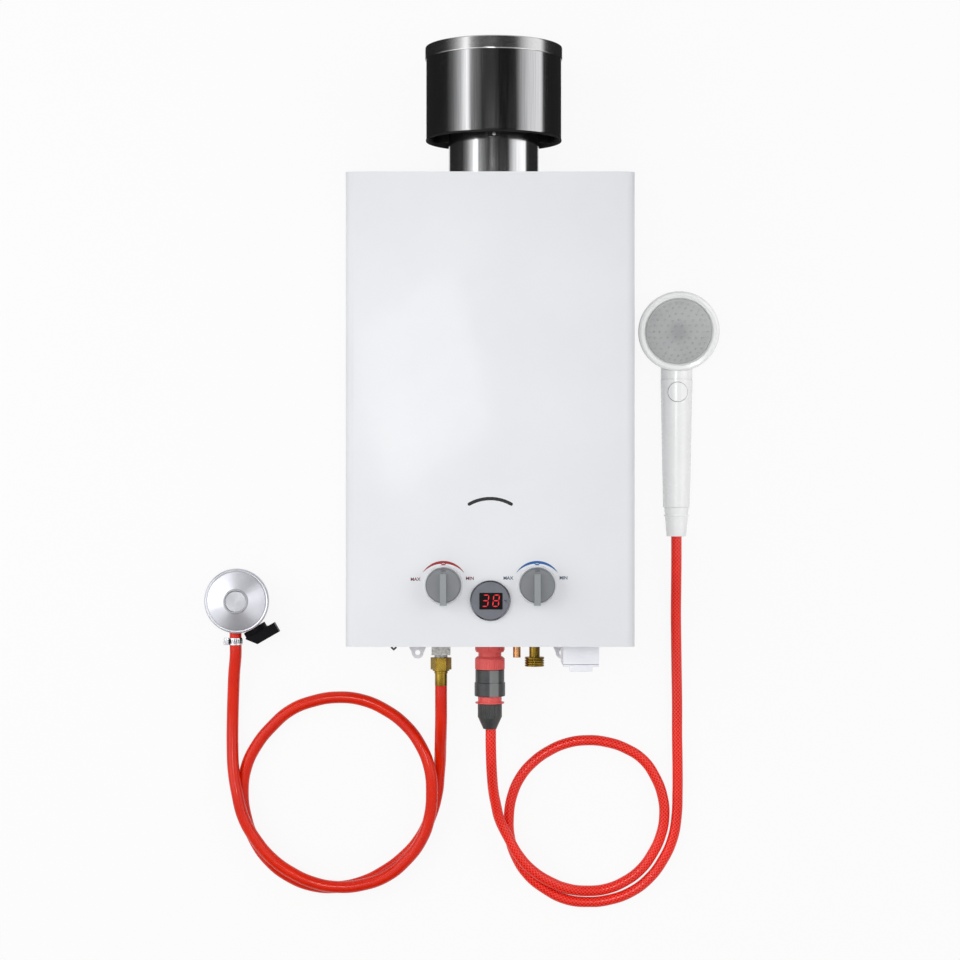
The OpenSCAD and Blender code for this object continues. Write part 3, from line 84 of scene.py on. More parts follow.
def shown(name, data):
    """A new object that puts a mesh, a curve, a lamp or a camera into the scene."""
    thing = bpy.data.objects.new(name, data)
    bpy.context.collection.objects.link(thing)
    return thing


def mesh_from(guide):
    """The mesh that a curve or a text makes."""
    bpy.context.view_layer.update()
    return bpy.data.meshes.new_from_object(
        guide.evaluated_get(bpy.context.evaluated_depsgraph_get()))


print("a mid grey in linear light:", round(tone(128, 128, 128)[0], 3))

# %% [markdown]
# ## The camera
# The picture was taken from straight above, so the camera looks down along Z.
# It stands 2.47 m away with a long lens, which keeps the sides of the casing narrow.

# %% Camera
view = bpy.data.cameras.new("top_camera")
view.lens = 84.45
camera = shown("top_camera", view)
camera.location = (-0.0106, -0.0733, 2.47)
bpy.context.scene.camera = camera
print("camera height:", camera.location.z)

# %% [markdown]
# ## The two hoses
# A hose is a round tube along one smooth line. A bezier curve with automatic handles
# runs through a few dozen points, and its bevel gives it thickness. Turned into a mesh,
# it keeps a UV map that runs along and round the hose, which the yarn pattern needs.
# The curve counts its points there and not its length, so the map is stretched to length.

# %% Tube along a route
def hose_tube(name, route, diameter):
    """A hose along its route. Its curve swings 0.3 mm past the plain model's straight
    pieces, so the skin is kept inside that model's box."""
    curve = bpy.data.curves.new(name, "CURVE")
    curve.dimensions = "3D"
    curve.resolution_u = 7
    spline = curve.splines.new("BEZIER")
    spline.bezier_points.add(len(route) - 1)
    for knot, place in zip(spline.bezier_points, route):
        knot.co = Vector(place) * MM
        knot.handle_left_type = "AUTO"
        knot.handle_right_type = "AUTO"
    guide = shown(name + "_guide", curve)
    path = [tuple(point.co) for point in mesh_from(guide).vertices]
    curve.bevel_depth = diameter / 2
    curve.bevel_resolution = 6
    curve.use_fill_caps = True
    mesh = mesh_from(guide)
    bpy.data.objects.remove(guide)
    mesh.name = name
    mesh.materials.clear()
    mesh.shade_smooth()
    travelled = [0.0]
    for start, end in zip(path, path[1:]):
        travelled.append(travelled[-1] + (Vector(end) - Vector(start)).length)
    for corner in mesh.uv_layers[0].data:
        corner.uv[0] = travelled[round(corner.uv[0] * (len(path) - 1))] / travelled[-1]
    low, high = cad_box
    for vertex in mesh.vertices:
        for axis in range(3):
            vertex.co[axis] = min(max(vertex.co[axis], low[axis]), high[axis])
    print(name, "is", round(travelled[-1], 3), "m long, faces:", len(mesh.polygons))
    return shown(name, mesh), path, travelled[-1]


# %% Gas hose
gas_route = [(-52.5, -294.4, 48), (-52.5, -309, 48), (-52.5, -328, 45.5),
    (-53, -347, 38), (-53.5, -361, 28), (-54, -376, 17), (-55.5, -395, 9),
    (-57.5, -415, 6.5), (-65, -442, 6.5), (-77, -466, 6.5), (-95, -486, 6.5),
    (-116, -501.5, 6.5), (-139.5, -513, 6.5), (-166, -518.5, 6.5), (-193, -517, 6.5),
    (-219, -507, 6.5), (-241, -490, 6.5), (-257, -467.5, 6.5), (-266.5, -442, 6.5),
    (-270, -415, 6.5), (-266.5, -388, 6.5), (-255, -363.5, 6.5), (-238, -342.5, 6.5),
    (-217.5, -325, 6.5), (-192.5, -315, 6.5), (-166, -311, 6.5), (-139, -314, 7),
    (-114, -324.5, 9), (-92, -340.5, 14), (-75.5, -361.5, 20.5), (-65.5, -386, 24.5),
    (-63, -412.5, 24.5), (-65.5, -439.5, 22), (-74.5, -465, 20.5), (-91, -487, 20.5),
    (-112, -504, 20.5), (-138, -513.5, 20.5), (-165, -516, 20.5), (-191, -511.5, 20.5),
    (-215.5, -500.5, 20.5), (-237, -485, 20.5), (-254.5, -464.5, 20.5),
    (-268, -440.5, 20.5), (-275, -413.5, 19.5), (-279.5, -388, 14.5), (-281, -362, 10),
    (-281, -335, 8.5), (-280, -308, 11), (-278.5, -284, 16), (-276.5, -263, 19.5),
    (-276.5, -247, 20), (-276.5, -233, 20)]
gas_skin, gas_path, gas_length = hose_tube("gas_hose_skin", gas_route, 13 * MM)

# %% Shower hose
shower_route = [(1, -340.7, 48), (1, -356, 48), (1.5, -376, 46), (2.5, -395, 39.5),
    (4, -411, 31), (6.5, -425, 24.5), (10.5, -442, 20), (20, -462, 18.2),
    (31.5, -482, 18.2), (46.5, -498.5, 17.5), (65, -511, 14.5), (85, -519.5, 10.5),
    (106.5, -522.5, 7.5), (128, -520.5, 6), (147.5, -512.5, 6), (165, -499.5, 6),
    (178, -482, 6), (187, -462.5, 6), (191, -441, 6), (189, -419, 6), (181, -398, 6),
    (168, -379.5, 6), (149, -367, 6), (128, -360, 6), (106.5, -358, 6), (85, -361, 6),
    (65, -369.5, 6), (47.5, -382, 6), (33.5, -398.5, 6), (24.5, -419, 6), (21, -441, 6),
    (22, -463.5, 6), (29, -485.5, 6), (42, -505.5, 6), (60.5, -520.5, 6),
    (82, -531.5, 6), (106.5, -535, 6), (131, -532.5, 6), (154.5, -524, 6),
    (174.5, -509, 6), (189.5, -489, 6), (200, -466, 6), (204.5, -441, 6),
    (205.5, -414.5, 6), (205.5, -386, 6), (205, -352, 6), (205, -318, 6),
    (204.5, -284, 6), (204, -250, 6.5), (203.5, -218, 8.5), (203.5, -188, 12),
    (203.5, -160, 14.5), (203.5, -147, 14.6), (203.5, -134.6, 14.6)]
shower_skin, shower_path, shower_length = hose_tube(
    "shower_hose_skin", shower_route, 11.5 * MM)

# %% [markdown]
# ## Shapes made by turning
# Pipes, lids, rings and knobs are round, as if they came off a lathe. A few vertices
# draw half of the section, and one spin round the axis makes the whole part.

# %% Move and turn vertices, and finish a bmesh as a piece
SHARP_ANGLE = math.radians(32)


def moved(bm, verts, millimetres):
    bmesh.ops.translate(bm, vec=Vector(millimetres) * MM, verts=verts)


def rotated(bm, verts, degrees, letter, centre=(0, 0, 0)):
    turn = Matrix.Rotation(math.radians(degrees), 3, letter)
    bmesh.ops.rotate(bm, cent=centre, matrix=turn, verts=verts)


def finished(bm, name):
    """Turn a bmesh into a piece of the heater, smooth but for its sharp edges."""
    mesh = bpy.data.meshes.new(name)
    bm.to_mesh(mesh)
    bm.free()
    mesh.shade_smooth()
    mesh.set_sharp_from_angle(angle=SHARP_ANGLE)
    piece = shown(name, mesh)
    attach(piece, "heater")
    print(name, "faces:", len(mesh.polygons))
    return piece


# %% Turn a section round an axis
UP_HEATER = Matrix.Rotation(math.radians(-90), 4, "X")
FACING = Matrix.Identity(4)


def turned(section, centre, way, steps, closed=True):
    """section is (radius, distance along the axis) in millimetres, and so is centre."""
    part = bmesh.new()
    ring = [part.verts.new((radius * MM, 0, along * MM)) for radius, along in section]
    for start, end in zip(ring, ring[1:]):
        part.edges.new((start, end))
    if closed:
        part.edges.new((ring[-1], ring[0]))
    bmesh.ops.spin(part, geom=part.verts[:] + part.edges[:], cent=(0, 0, 0),
        axis=(0, 0, 1), angle=2 * math.pi, steps=steps, use_merge=True)
    bmesh.ops.remove_doubles(part, verts=part.verts, dist=1e-6)
    bmesh.ops.recalc_face_normals(part, faces=part.faces)
    move = Matrix.Translation(Vector(centre) * MM) @ way
    bmesh.ops.transform(part, matrix=move, verts=part.verts)
    return part


# %% [markdown]
# ## The flue
# A thin stainless pipe rises from the casing into a drum with a domed lid, which keeps
# the rain out. Polished sheet shows every facet in its reflections, so each of the three
# is turned in many fine steps. The drum's lower edge is rolled over, and so is the pipe's
# rim. The lid's skirt has two extra rings near its edges, which keep its side flat.

# %% Flue pipe
FLUE_AXIS = (4, 0, 75)
pipe = turned([(48, 236), (48, 237), (48, 323.6), (48, 324.6), (48.3, 325.2),
    (48.2, 325.9), (47.6, 326), (47.2, 325.4), (47.2, 236)], FLUE_AXIS, UP_HEATER, 160)
flue_pipe_skin = finished(pipe, "flue_pipe_skin")
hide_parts("flue_pipe")

# %% Drum of the rain cap
drum = turned([(71.1, 384.4), (71.9, 384.4), (71.9, 383.4), (71.9, 290), (71.9, 288.6),
    (72.1, 287.9), (72.2, 287.2), (72.0, 286.5), (71.5, 286.5), (71.1, 287.2)],
    FLUE_AXIS, UP_HEATER, 192)
drum_skin = finished(drum, "drum_skin")
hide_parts("cap_drum")

# %% Lid of the rain cap
lid = turned([(71.95, 372.8), (72.7, 372.65), (72.85, 373.2), (72.85, 373.8),
    (72.85, 384.2), (72.85, 384.7), (72.6, 385.5), (71.9, 386), (60, 387.3), (46, 388.1),
    (30, 388.4), (0, 388.45), (0, 387.65), (30, 387.6), (60, 386.5), (71.3, 385),
    (71.95, 384.5)], FLUE_AXIS, UP_HEATER, 192)
lid_skin = finished(lid, "lid_skin")
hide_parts("cap_lid")

# %% [markdown]
# ## The display
# A round chrome ring holds a grey panel with a small black window, in which two red
# seven-segment figures show the water's temperature. A seven-segment figure is seven
# thin six-sided bars, so one bar is drawn, squeezed and copied to its places.

# %% Display ring and panel
DISPLAY_AXIS = (0, -198, 0)
ring = turned([(15.6, 140), (21, 140), (21, 142.2), (20.8, 143.1), (20.3, 143.5),
    (19.8, 143.2), (19.6, 142.4), (15.6, 142.4)], DISPLAY_AXIS, FACING, 128)
display_ring = finished(ring, "display_ring")
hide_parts("display_bezel")
plate = turned([(0, 139.5), (15.3, 139.5), (15.3, 142.45), (19.4, 142.45),
    (19.4, 142.85), (19.2, 143.0), (0, 143.05)], DISPLAY_AXIS, FACING, 96, closed=False)
display_plate = finished(plate, "display_plate")
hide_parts("display_panel")


# %% Rounded flat block
def flat_block(width, height, thick, centre, corner):
    """A plate with rounded corners. All sizes are in millimetres."""
    part = bmesh.new()
    bmesh.ops.create_cube(part, size=1)
    bmesh.ops.scale(part, vec=Vector((width, height, thick)) * MM, verts=part.verts)
    upright = [edge for edge in part.edges if edge.verts[0].co.xy == edge.verts[1].co.xy]
    bmesh.ops.bevel(part, geom=upright, offset=corner * MM, segments=4, profile=0.5,
        affect="EDGES", material=-1)
    moved(part, part.verts, centre)
    return part


# %% Window of the display
window = finished(flat_block(24, 17.2, 0.5, (0.7, -198.5, 143.15), 0.8), "display_window")

# %% Seven-segment figures
SEGMENTS = {"3": "abcdg", "8": "abcdefg"}
BARS = {"a": (0, 2, 0), "g": (0, 0, 0), "d": (0, -2, 0), "f": (-1, 1, 90),
    "b": (1, 1, 90), "e": (-1, -1, 90), "c": (1, -1, 90)}
BAR_LENGTH, BAR_WIDTH, BAR_STEP, STEP_LEAN = 5.2, 1.232, 2.9, 0.35
FIGURE_Y, FIGURE_Z, FIGURE_THICK = -198.0, 143.43, 0.1
SLANT = Matrix(((1, 0.12, 0), (0, 1, 0), (0, 0, 1)))


def figure(bm, digit, x):
    """Add one figure. A bar's place is in steps from the middle, and its turn in degrees."""
    for letter in SEGMENTS[digit]:
        across, up, turn = BARS[letter]
        bar = bmesh.ops.create_circle(bm, cap_ends=True, segments=6, radius=0.5)["verts"]
        bmesh.ops.scale(bm, vec=(BAR_LENGTH * MM, BAR_WIDTH * MM, 1), verts=bar)
        rotated(bm, bar, turn, "Z")
        place = Vector((across * BAR_STEP + up * STEP_LEAN, up * BAR_STEP, 0)) * MM
        for corner in bar:
            corner.co = SLANT @ corner.co + place + Vector((x, FIGURE_Y, FIGURE_Z)) * MM


digits = bmesh.new()
figure(digits, "3", -5.0)
figure(digits, "8", 6.0)
solid = bmesh.ops.extrude_face_region(digits, geom=digits.faces[:])["geom"]
moved(digits, [item for item in solid if isinstance(item, bmesh.types.BMVert)],
    (0, 0, FIGURE_THICK))
bmesh.ops.recalc_face_normals(digits, faces=digits.faces)
display_digits = finished(digits, "display_digits")


# %% [markdown]
# ## Printed words and arcs
# Each knob has a printed arc that swells in the middle, and two small words. Print is a
# thin layer of ink, so words are text objects with a hair of thickness, turned into a
# mesh, and the arc is an edge spun through part of a circle and then drawn thinner
# towards its ends.

# %% Small printed word
CAP_HEIGHT = 0.72
INK_DEPTH, INK_SPREAD = 0.06, 0.032


def printed_word(name, text, centre, height, body="heater"):
    """A word whose capitals are height tall. CAP_HEIGHT is their share of the font's size."""
    curve = bpy.data.curves.new(name, "FONT")
    curve.body = text
    curve.align_x = "CENTER"
    curve.align_y = "CENTER"
    curve.size = height * MM / CAP_HEIGHT
    curve.extrude = INK_DEPTH * MM
    curve.offset = height * INK_SPREAD * MM
    guide = shown(name + "_text", curve)
    mesh = mesh_from(guide)
    bpy.data.objects.remove(guide)
    mesh.transform(Matrix.Translation(Vector(centre) * MM))
    mesh.materials.clear()
    piece = shown(name, mesh)
    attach(piece, body)
    return piece


# %% Words beside and on the knobs
words_red = [printed_word("word_gas_max", "MAX", (-77.4, -176.1, 140.05), 3.4),
    printed_word("word_gas_min", "MIN", (-21.1, -175.2, 140.05), 3.4)]
words_blue = [printed_word("word_water_max", "MAX", (18.6, -174.9, 140.05), 3.4),
    printed_word("word_water_min", "MIN", (75.8, -174.7, 140.05), 3.4)]
words_on = [printed_word("word_gas_on", "ON", (-48.5, -166.6, 156.44), 2.4, "gas_control"),
    printed_word("word_water_on", "ON", (48.5, -166.6, 156.44), 2.4, "water_control")]
word_degree = printed_word("word_degree", "°C", (15.9, -198.6, 143.08), 2.3)
print("words printed:", len(words_red) + len(words_blue) + len(words_on) + 1)

# %% Tapered arcs over the knobs
KNOB_X, KNOB_Y, ARC_Z = 48.5, -182, 140.13
ARC_OUTSIDE, ARC_INSIDE, ARC_HALF_ANGLE, ARC_SWELL = 25, 22.5, 59, 2.7
LOBE_HALF_ANGLE, LOBE_SWELL, INK_EDGE = 7, 2.3, 0.12


def knob_arc(name, x):
    """An arc of ink that swells towards its middle, where it has a small lobe."""
    bm = bmesh.new()
    inner = bm.verts.new((0, ARC_INSIDE * MM, 0))
    outer = bm.verts.new((0, ARC_OUTSIDE * MM, 0))
    edge = bm.edges.new((inner, outer))
    rotated(bm, bm.verts, -ARC_HALF_ANGLE, "Z")
    bmesh.ops.spin(bm, geom=[inner, outer, edge], cent=(0, 0, 0), axis=(0, 0, 1),
        angle=math.radians(2 * ARC_HALF_ANGLE), steps=72)
    for vertex in bm.verts:
        angle = math.degrees(math.atan2(vertex.co.x, vertex.co.y))
        swell = ARC_SWELL * max(0.0, 1 - (angle / ARC_HALF_ANGLE) ** 2)
        lobe = LOBE_SWELL * max(0.0, 1 - (angle / LOBE_HALF_ANGLE) ** 2)
        if vertex.co.length < (ARC_INSIDE + ARC_OUTSIDE) / 2 * MM:
            reach = ARC_OUTSIDE - INK_EDGE - swell - lobe
            vertex.co = vertex.co.normalized() * reach * MM
    bmesh.ops.recalc_face_normals(bm, faces=bm.faces)
    if bm.faces[0].normal.z < 0:
        bmesh.ops.reverse_faces(bm, faces=bm.faces)
    bmesh.ops.solidify(bm, geom=bm.faces[:], thickness=INK_EDGE * MM)
    moved(bm, bm.verts, (x, KNOB_Y, ARC_Z))
    return finished(bm, name)


gas_arc = knob_arc("gas_arc", -KNOB_X)
water_arc = knob_arc("water_arc", KNOB_X)

# %% Pale marks in the middle of the arcs
OVALS, MARK_Z = ((-1, 22.1, 1.3), (1, 22.1, 1.3), (0, 22.3, 1)), 140.16


def arc_mark(name, x):
    """Three small ovals in the lobe of an arc. OVALS gives x, y and width of each."""
    bm = bmesh.new()
    for across, up, wide in OVALS:
        mark = bmesh.ops.create_circle(bm, cap_ends=True, segments=12, radius=0.5 * MM)["verts"]
        bmesh.ops.scale(bm, vec=(wide, 0.9, 1), verts=mark)
        moved(bm, mark, (across, up, 0))
    moved(bm, bm.verts, (x, KNOB_Y, MARK_Z))
    for face in bm.faces:
        if face.normal.z < 0:
            face.normal_flip()
    return finished(bm, name)


arc_marks = [arc_mark("gas_mark", -KNOB_X), arc_mark("water_mark", KNOB_X)]

# %% [markdown]
# ## The spray face of the hand shower
# Soft nubs stand in rings on the spray plate. A nub is a short cone with few faces and a
# hole, made at each place in the rings, then all are tilted with the head.

# %% Where the spray plate lies
HEAD = (Matrix.Translation(Vector((203.5, 86, 47)) * MM)
    @ Matrix.Rotation(math.radians(16), 4, "X"))

# %% Nubs in rings
NUB_RINGS = ((7, 6), (13.5, 12), (20, 18), (26.5, 24), (31.5, 30))
MIDDLE_Z, FALL = 0.15, 0.011


def spray_nubs():
    """NUB_RINGS gives each ring's radius and its number of nubs. The plate is domed, so
    the nubs lie a little lower towards its rim."""
    bm = bmesh.new()
    for radius, count in NUB_RINGS:
        for step in range(count):
            angle = 2 * math.pi * step / count
            nub = bmesh.ops.create_cone(bm, cap_ends=True, segments=10, radius1=1.2 * MM,
                radius2=0.85 * MM, depth=0.5 * MM)["verts"]
            moved(bm, nub, (radius * math.cos(angle), radius * math.sin(angle),
                MIDDLE_Z - radius * FALL))
    for face in [face for face in bm.faces if face.normal.z > 0.9]:
        bmesh.ops.inset_region(bm, faces=[face], thickness=0.4 * MM, depth=-0.12 * MM)
    bmesh.ops.transform(bm, matrix=HEAD, verts=bm.verts)
    return finished(bm, "spray_nubs")


nubs = spray_nubs()

# %% [markdown]
# ## The hose clamp and its slots
# A worm clamp is a steel band with slanted slots, which the worm's thread drives.
# One slot is a thin block painted dark as the shade in the slot, laid on the band and
# repeated round it.

# %% Slots of the clamp
CLAMP_CENTRE = Vector((-276.5, -248.75, 20))
SLOT_COUNT, SLOT_SLANT, SLOT_SIZE = 22, 6.8755, Vector((0.95, 4.6, 0.2))
clamp_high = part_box("hose_clamp")[1]
clamp_radius = round(clamp_high.x / MM - CLAMP_CENTRE.x, 2)
print("clamp band radius:", clamp_radius)


def clamp_slots():
    """The slots, each a block sunk into the band and painted dark, as painted shade."""
    bm = bmesh.new()
    for step in range(SLOT_COUNT):
        slot = bmesh.ops.create_cube(bm, size=1)["verts"]
        bmesh.ops.scale(bm, vec=SLOT_SIZE * MM, verts=slot)
        rotated(bm, slot, SLOT_SLANT, "Z")
        moved(bm, slot, (0, 0, clamp_radius))
        rotated(bm, slot, 360 * step / SLOT_COUNT, "Y")
    moved(bm, bm.verts, CLAMP_CENTRE)
    return finished(bm, "clamp_slots")


slots = clamp_slots()

# %% [markdown]
# ## Materials: the shared effects
# Real surfaces are never one flat colour. Each effect below is a shader node group, built
# once: it takes a few numbers and gives back a colour, a mask or a height, and each
# material connects those to its own shader.

# %% Node helpers
NUMBER, COLOUR, VECTOR = "NodeSocketFloat", "NodeSocketColor", "NodeSocketVector"


def effect(name, inputs, outputs):
    """An empty node group, with what comes in and what goes out."""
    group = bpy.data.node_groups.new(name, "ShaderNodeTree")
    for label, kind, value in inputs:
        socket = group.interface.new_socket(label, in_out="INPUT", socket_type=kind)
        if value is not None:
            socket.default_value = value
    for label, kind in outputs:
        group.interface.new_socket(label, in_out="OUTPUT", socket_type=kind)
    start = group.nodes.new("NodeGroupInput")
    end = group.nodes.new("NodeGroupOutput")
    return group, start.outputs, end.inputs


def joined(tree, kind, settings=None, **links):
    """A new node with its settings. Each link is a number or another node's output. It
    goes by the socket's name, or by i and its number where the names repeat."""
    node = tree.nodes.new(kind)
    for key, value in (settings or {}).items():
        setattr(node, key, value)
    for label, source in links.items():
        socket = node.inputs[int(label[1:])] if label[0] == "i" else node.inputs[label]
        if hasattr(source, "is_output"):
            tree.links.new(source, socket)
        else:
            socket.default_value = source
    return node


print("socket kinds:", NUMBER, COLOUR, VECTOR)


# %% Helpers for sums, ranges, colours and noise
NOISE_LOW, NOISE_HIGH = 0.3, 0.7


def maths(tree, operation, *values, kind="ShaderNodeMath", output=0):
    """The result of one operation on numbers or on other nodes' outputs."""
    links = {f"i{place}": value for place, value in enumerate(values)}
    return joined(tree, kind, {"operation": operation}, **links).outputs[output]


def vector_maths(tree, operation, output, *values):
    return maths(tree, operation, *values, kind="ShaderNodeVectorMath", output=output)


def ranged(tree, value, low, high, to_low=0.0, to_high=1.0, kind="LINEAR"):
    """A value between low and high becomes one between to_low and to_high."""
    return joined(tree, "ShaderNodeMapRange", {"interpolation_type": kind}, i0=value, i1=low,
        i2=high, i3=to_low, i4=to_high).outputs[0]


def blended(tree, share, first, second, way="MIX"):
    """Two colours in one: all of the second where share is 1."""
    return joined(tree, "ShaderNodeMix", {"data_type": "RGBA", "blend_type": way}, i0=share,
        i6=first, i7=second).outputs[2]


def noise(tree, vector, scale, detail, roughness=0.5):
    return joined(tree, "ShaderNodeTexNoise", Vector=vector, Scale=scale, Detail=detail,
        Roughness=roughness).outputs["Fac"]


def two_toned(tree, into, out, drift, grain):
    """Drift picks a colour between two tones, and grain a roughness between two limits.
    Noise keeps to the middle of its range, between NOISE_LOW and NOISE_HIGH."""
    share = ranged(tree, drift, NOISE_LOW, NOISE_HIGH)
    gloss = ranged(tree, grain, NOISE_LOW, NOISE_HIGH, into["Smooth"], into["Rough"])
    tree.links.new(blended(tree, share, into["Dark"], into["Light"]), out["Color"])
    tree.links.new(gloss, out["Roughness"])
    tree.links.new(grain, out["Height"])


# %% Mottled surface: slow colour drift and a fine grain
SURFACE = [("Color", COLOUR), ("Roughness", NUMBER), ("Height", NUMBER)]
mottle, into, out = effect("mottled_surface",
    [("Vector", VECTOR, None), ("Patch Scale", NUMBER, 20), ("Grain Scale", NUMBER, 900),
     ("Light", COLOUR, None), ("Dark", COLOUR, None), ("Smooth", NUMBER, 0.3),
     ("Rough", NUMBER, 0.4)], SURFACE)
two_toned(mottle, into, out, noise(mottle, into["Vector"], into["Patch Scale"], 3),
    noise(mottle, into["Vector"], into["Grain Scale"], 2))
print("effect:", mottle.name)

# %% Brushed lines: noise pulled out along the rolling direction of the sheet
brush, into, out = effect("brushed_lines",
    [("Vector", VECTOR, None), ("Across", NUMBER, 1500), ("Light", COLOUR, None),
     ("Dark", COLOUR, None), ("Smooth", NUMBER, 0.2), ("Rough", NUMBER, 0.35)], SURFACE)
lines = noise(brush, into["Vector"], into["Across"], 4)
two_toned(brush, into, out, lines, lines)
print("effect:", brush.name)

# %% Scuffs: a few thin, faint rubbed marks, where a noise crosses its middle value
NOISE_MIDDLE, MARK_WIDTH = 0.5, 0.012
scuffs, into, out = effect("rubbed_marks",
    [("Vector", VECTOR, None), ("Scale", NUMBER, 30), ("Amount", NUMBER, 0.35)],
    [("Mask", NUMBER)])
bend = noise(scuffs, into["Vector"], into["Scale"], 6, 0.7)
thin = maths(scuffs, "ABSOLUTE", maths(scuffs, "SUBTRACT", bend, NOISE_MIDDLE))
scuffs.links.new(ranged(scuffs, thin, 0.0, MARK_WIDTH, into["Amount"], 0.0), out["Mask"])
print("effect:", scuffs.name)

# %% Braided yarn: two sets of threads that wind round the hose in opposite ways
YARN_EDGE, YARN_TOP = 0.72, 0.95
yarn, into, out = effect("braided_yarn",
    [("UV", VECTOR, None), ("Round", NUMBER, 12), ("Along", NUMBER, 200)],
    [("Mask", NUMBER), ("Height", NUMBER)])
parts = joined(yarn, "ShaderNodeSeparateXYZ", i0=into["UV"]).outputs
turn = maths(yarn, "MULTIPLY", parts[1], into["Round"])
run = maths(yarn, "MULTIPLY", parts[0], into["Along"])
waves = []
for way in ("ADD", "SUBTRACT"):
    phase = maths(yarn, "MULTIPLY", maths(yarn, way, turn, run), 2 * math.pi)
    waves.append(maths(yarn, "COSINE", phase))
top = maths(yarn, "MAXIMUM", *waves)
yarn.links.new(ranged(yarn, top, YARN_EDGE, YARN_TOP), out["Mask"])
yarn.links.new(top, out["Height"])
print("effect:", yarn.name)


# %% [markdown]
# ## Materials: one recipe for each family
# The recipes below build a material from the effects. Colours are written as 0 to 255,
# as they look in plain light. Each surface drifts between a light and a dark tone, and
# its roughness between a smooth and a rough limit. Scales are in blotches per metre.

# %% A shader, its effect and its bump
def base_material(name, metal=0.0, shine=0.5, coat=0.0):
    material = bpy.data.materials.new(name)
    material.use_nodes = True
    tree = material.node_tree
    shader = tree.nodes["Principled BSDF"]
    shader.inputs["Metallic"].default_value = metal
    shader.inputs["Specular IOR Level"].default_value = shine
    shader.inputs["Coat Weight"].default_value = coat
    shader.inputs["Coat Roughness"].default_value = 0.08
    return material, tree, shader


def coordinates(tree, kind="Object"):
    """Where on the piece a point lies, in metres or on its UV map."""
    return tree.nodes.new("ShaderNodeTexCoord").outputs[kind]


def mottled(tree, patch, grain, light, dark, smooth, rough):
    """The mottled effect, with its values."""
    return joined(tree, "ShaderNodeGroup", {"node_tree": mottle}, **{
        "Vector": coordinates(tree), "Patch Scale": patch, "Grain Scale": grain,
        "Light": tone(*light), "Dark": tone(*dark), "Smooth": smooth, "Rough": rough}).outputs


def bumped(tree, shader, roughness, height, depth, strength=1.0):
    """Roughness, and a bump that is depth metres deep."""
    bump = joined(tree, "ShaderNodeBump", Strength=strength, Distance=depth, Height=height)
    tree.links.new(roughness, shader.inputs["Roughness"])
    tree.links.new(bump.outputs["Normal"], shader.inputs["Normal"])


# %% Moulded surfaces and brushed metal
MARKS_PER_PATCH = 1.6


def moulded(name, light, dark, smooth=0.3, rough=0.42, patch=18, grain=900, bump=0.00004,
        coat=0.0, metal=0.0, marks=0.15, shine=0.5):
    """Moulded, cast or painted surfaces: mottled colour, fine grain and faint rubbed marks.
    After the tones come the limits of roughness, the scales of patches and grain, and the
    height of the grain in metres."""
    material, tree, shader = base_material(name, metal, shine, coat)
    skin = mottled(tree, patch, grain, light, dark, smooth, rough)
    rub = joined(tree, "ShaderNodeGroup", {"node_tree": scuffs}, Vector=coordinates(tree),
        Scale=patch * MARKS_PER_PATCH, Amount=marks)
    tree.links.new(skin["Color"], shader.inputs["Base Color"])
    bumped(tree, shader, maths(tree, "ADD", skin["Roughness"], rub.outputs["Mask"]),
        skin["Height"], bump)
    return material


def brushed(name, light, dark, stretch, across, smooth, rough, bump):
    """Rolled or brushed metal: lines pulled out along the axis whose stretch is small, and
    across lines per metre."""
    material, tree, shader = base_material(name, metal=1.0)
    pull = joined(tree, "ShaderNodeMapping", Vector=coordinates(tree), Scale=stretch)
    skin = joined(tree, "ShaderNodeGroup", {"node_tree": brush}, Vector=pull.outputs["Vector"],
        Across=across, Light=tone(*light), Dark=tone(*dark), Smooth=smooth, Rough=rough).outputs
    tree.links.new(skin["Color"], shader.inputs["Base Color"])
    bumped(tree, shader, skin["Roughness"], skin["Height"], bump)
    return material


# %% [markdown]
# ## Sheet metal finishes
# The casing is powder coated white, a hair blue, with the faint orange peel of baked
# powder. The flue is polished stainless, the lid is a plainer rolled sheet, and the
# back plate and tabs are zinc plated. The inside of the drum, its lower roll and its
# straps are painted dark as painted shade.

# %% Paint, steel and zinc
POLISH = ((1, 0.012, 1), 1100, 0.1, 0.17, 0.000003)
finish = {}
finish["casing_white"] = moulded("powder_coat_white", (223, 225, 228), (219, 221, 225),
    0.34, 0.42, 9, 700, 0.00003, coat=0.05, marks=0.05, shine=0.4)
finish["flue_steel"] = brushed("polished_stainless", (170, 170, 171), (154, 154, 156), *POLISH)
pipe_steel = brushed("pipe_stainless", (206, 206, 207), (190, 190, 192), *POLISH)
finish["lid_steel"] = brushed("rolled_stainless", (182, 182, 182), (168, 168, 169),
    (0.02, 1, 1), 1500, 0.18, 0.24, 0.0000005)
finish["inner_steel"] = brushed("inner_steel", (150, 150, 150), (118, 116, 114),
    (1, 0.03, 1), 900, 0.3, 0.45, 0.00001)
finish["plate_zinc"] = moulded("plated_zinc", (222, 224, 229), (213, 216, 221),
    0.32, 0.5, 240, 900, 0.00002, metal=0.3)
# Dark steel for painted shade: the inside of the drum, its lower roll and the straps.
shade_dark_steel = moulded("painted_shade_steel", (34, 32, 31), (18, 17, 16), 0.55, 0.75, 50,
    700, 0.00005, metal=0.3, shine=0.2)
finish["screw_steel"] = moulded("screw_plating", (196, 198, 202), (160, 163, 168),
    0.22, 0.36, 90, 1500, 0.00001, metal=1.0)
finish["bezel_chrome"] = moulded("dark_chrome", (112, 114, 120), (84, 86, 92),
    0.08, 0.14, 30, 900, 0.000003, metal=1.0, marks=0.05)
finish["clamp_steel"] = brushed("clamp_steel", (214, 215, 218), (180, 182, 186),
    (1, 1, 0.05), 1400, 0.15, 0.28, 0.00001)
print("sheet finishes:", len(finish))

# %% [markdown]
# ## Cast and drawn metals
# The gas valve is a rough grey casting, and the regulator is a smoother zinc casting
# with turning marks round its middle. Brass turns yellow olive where it isn't polished,
# and the heat exchanger is copper that the flame has browned.

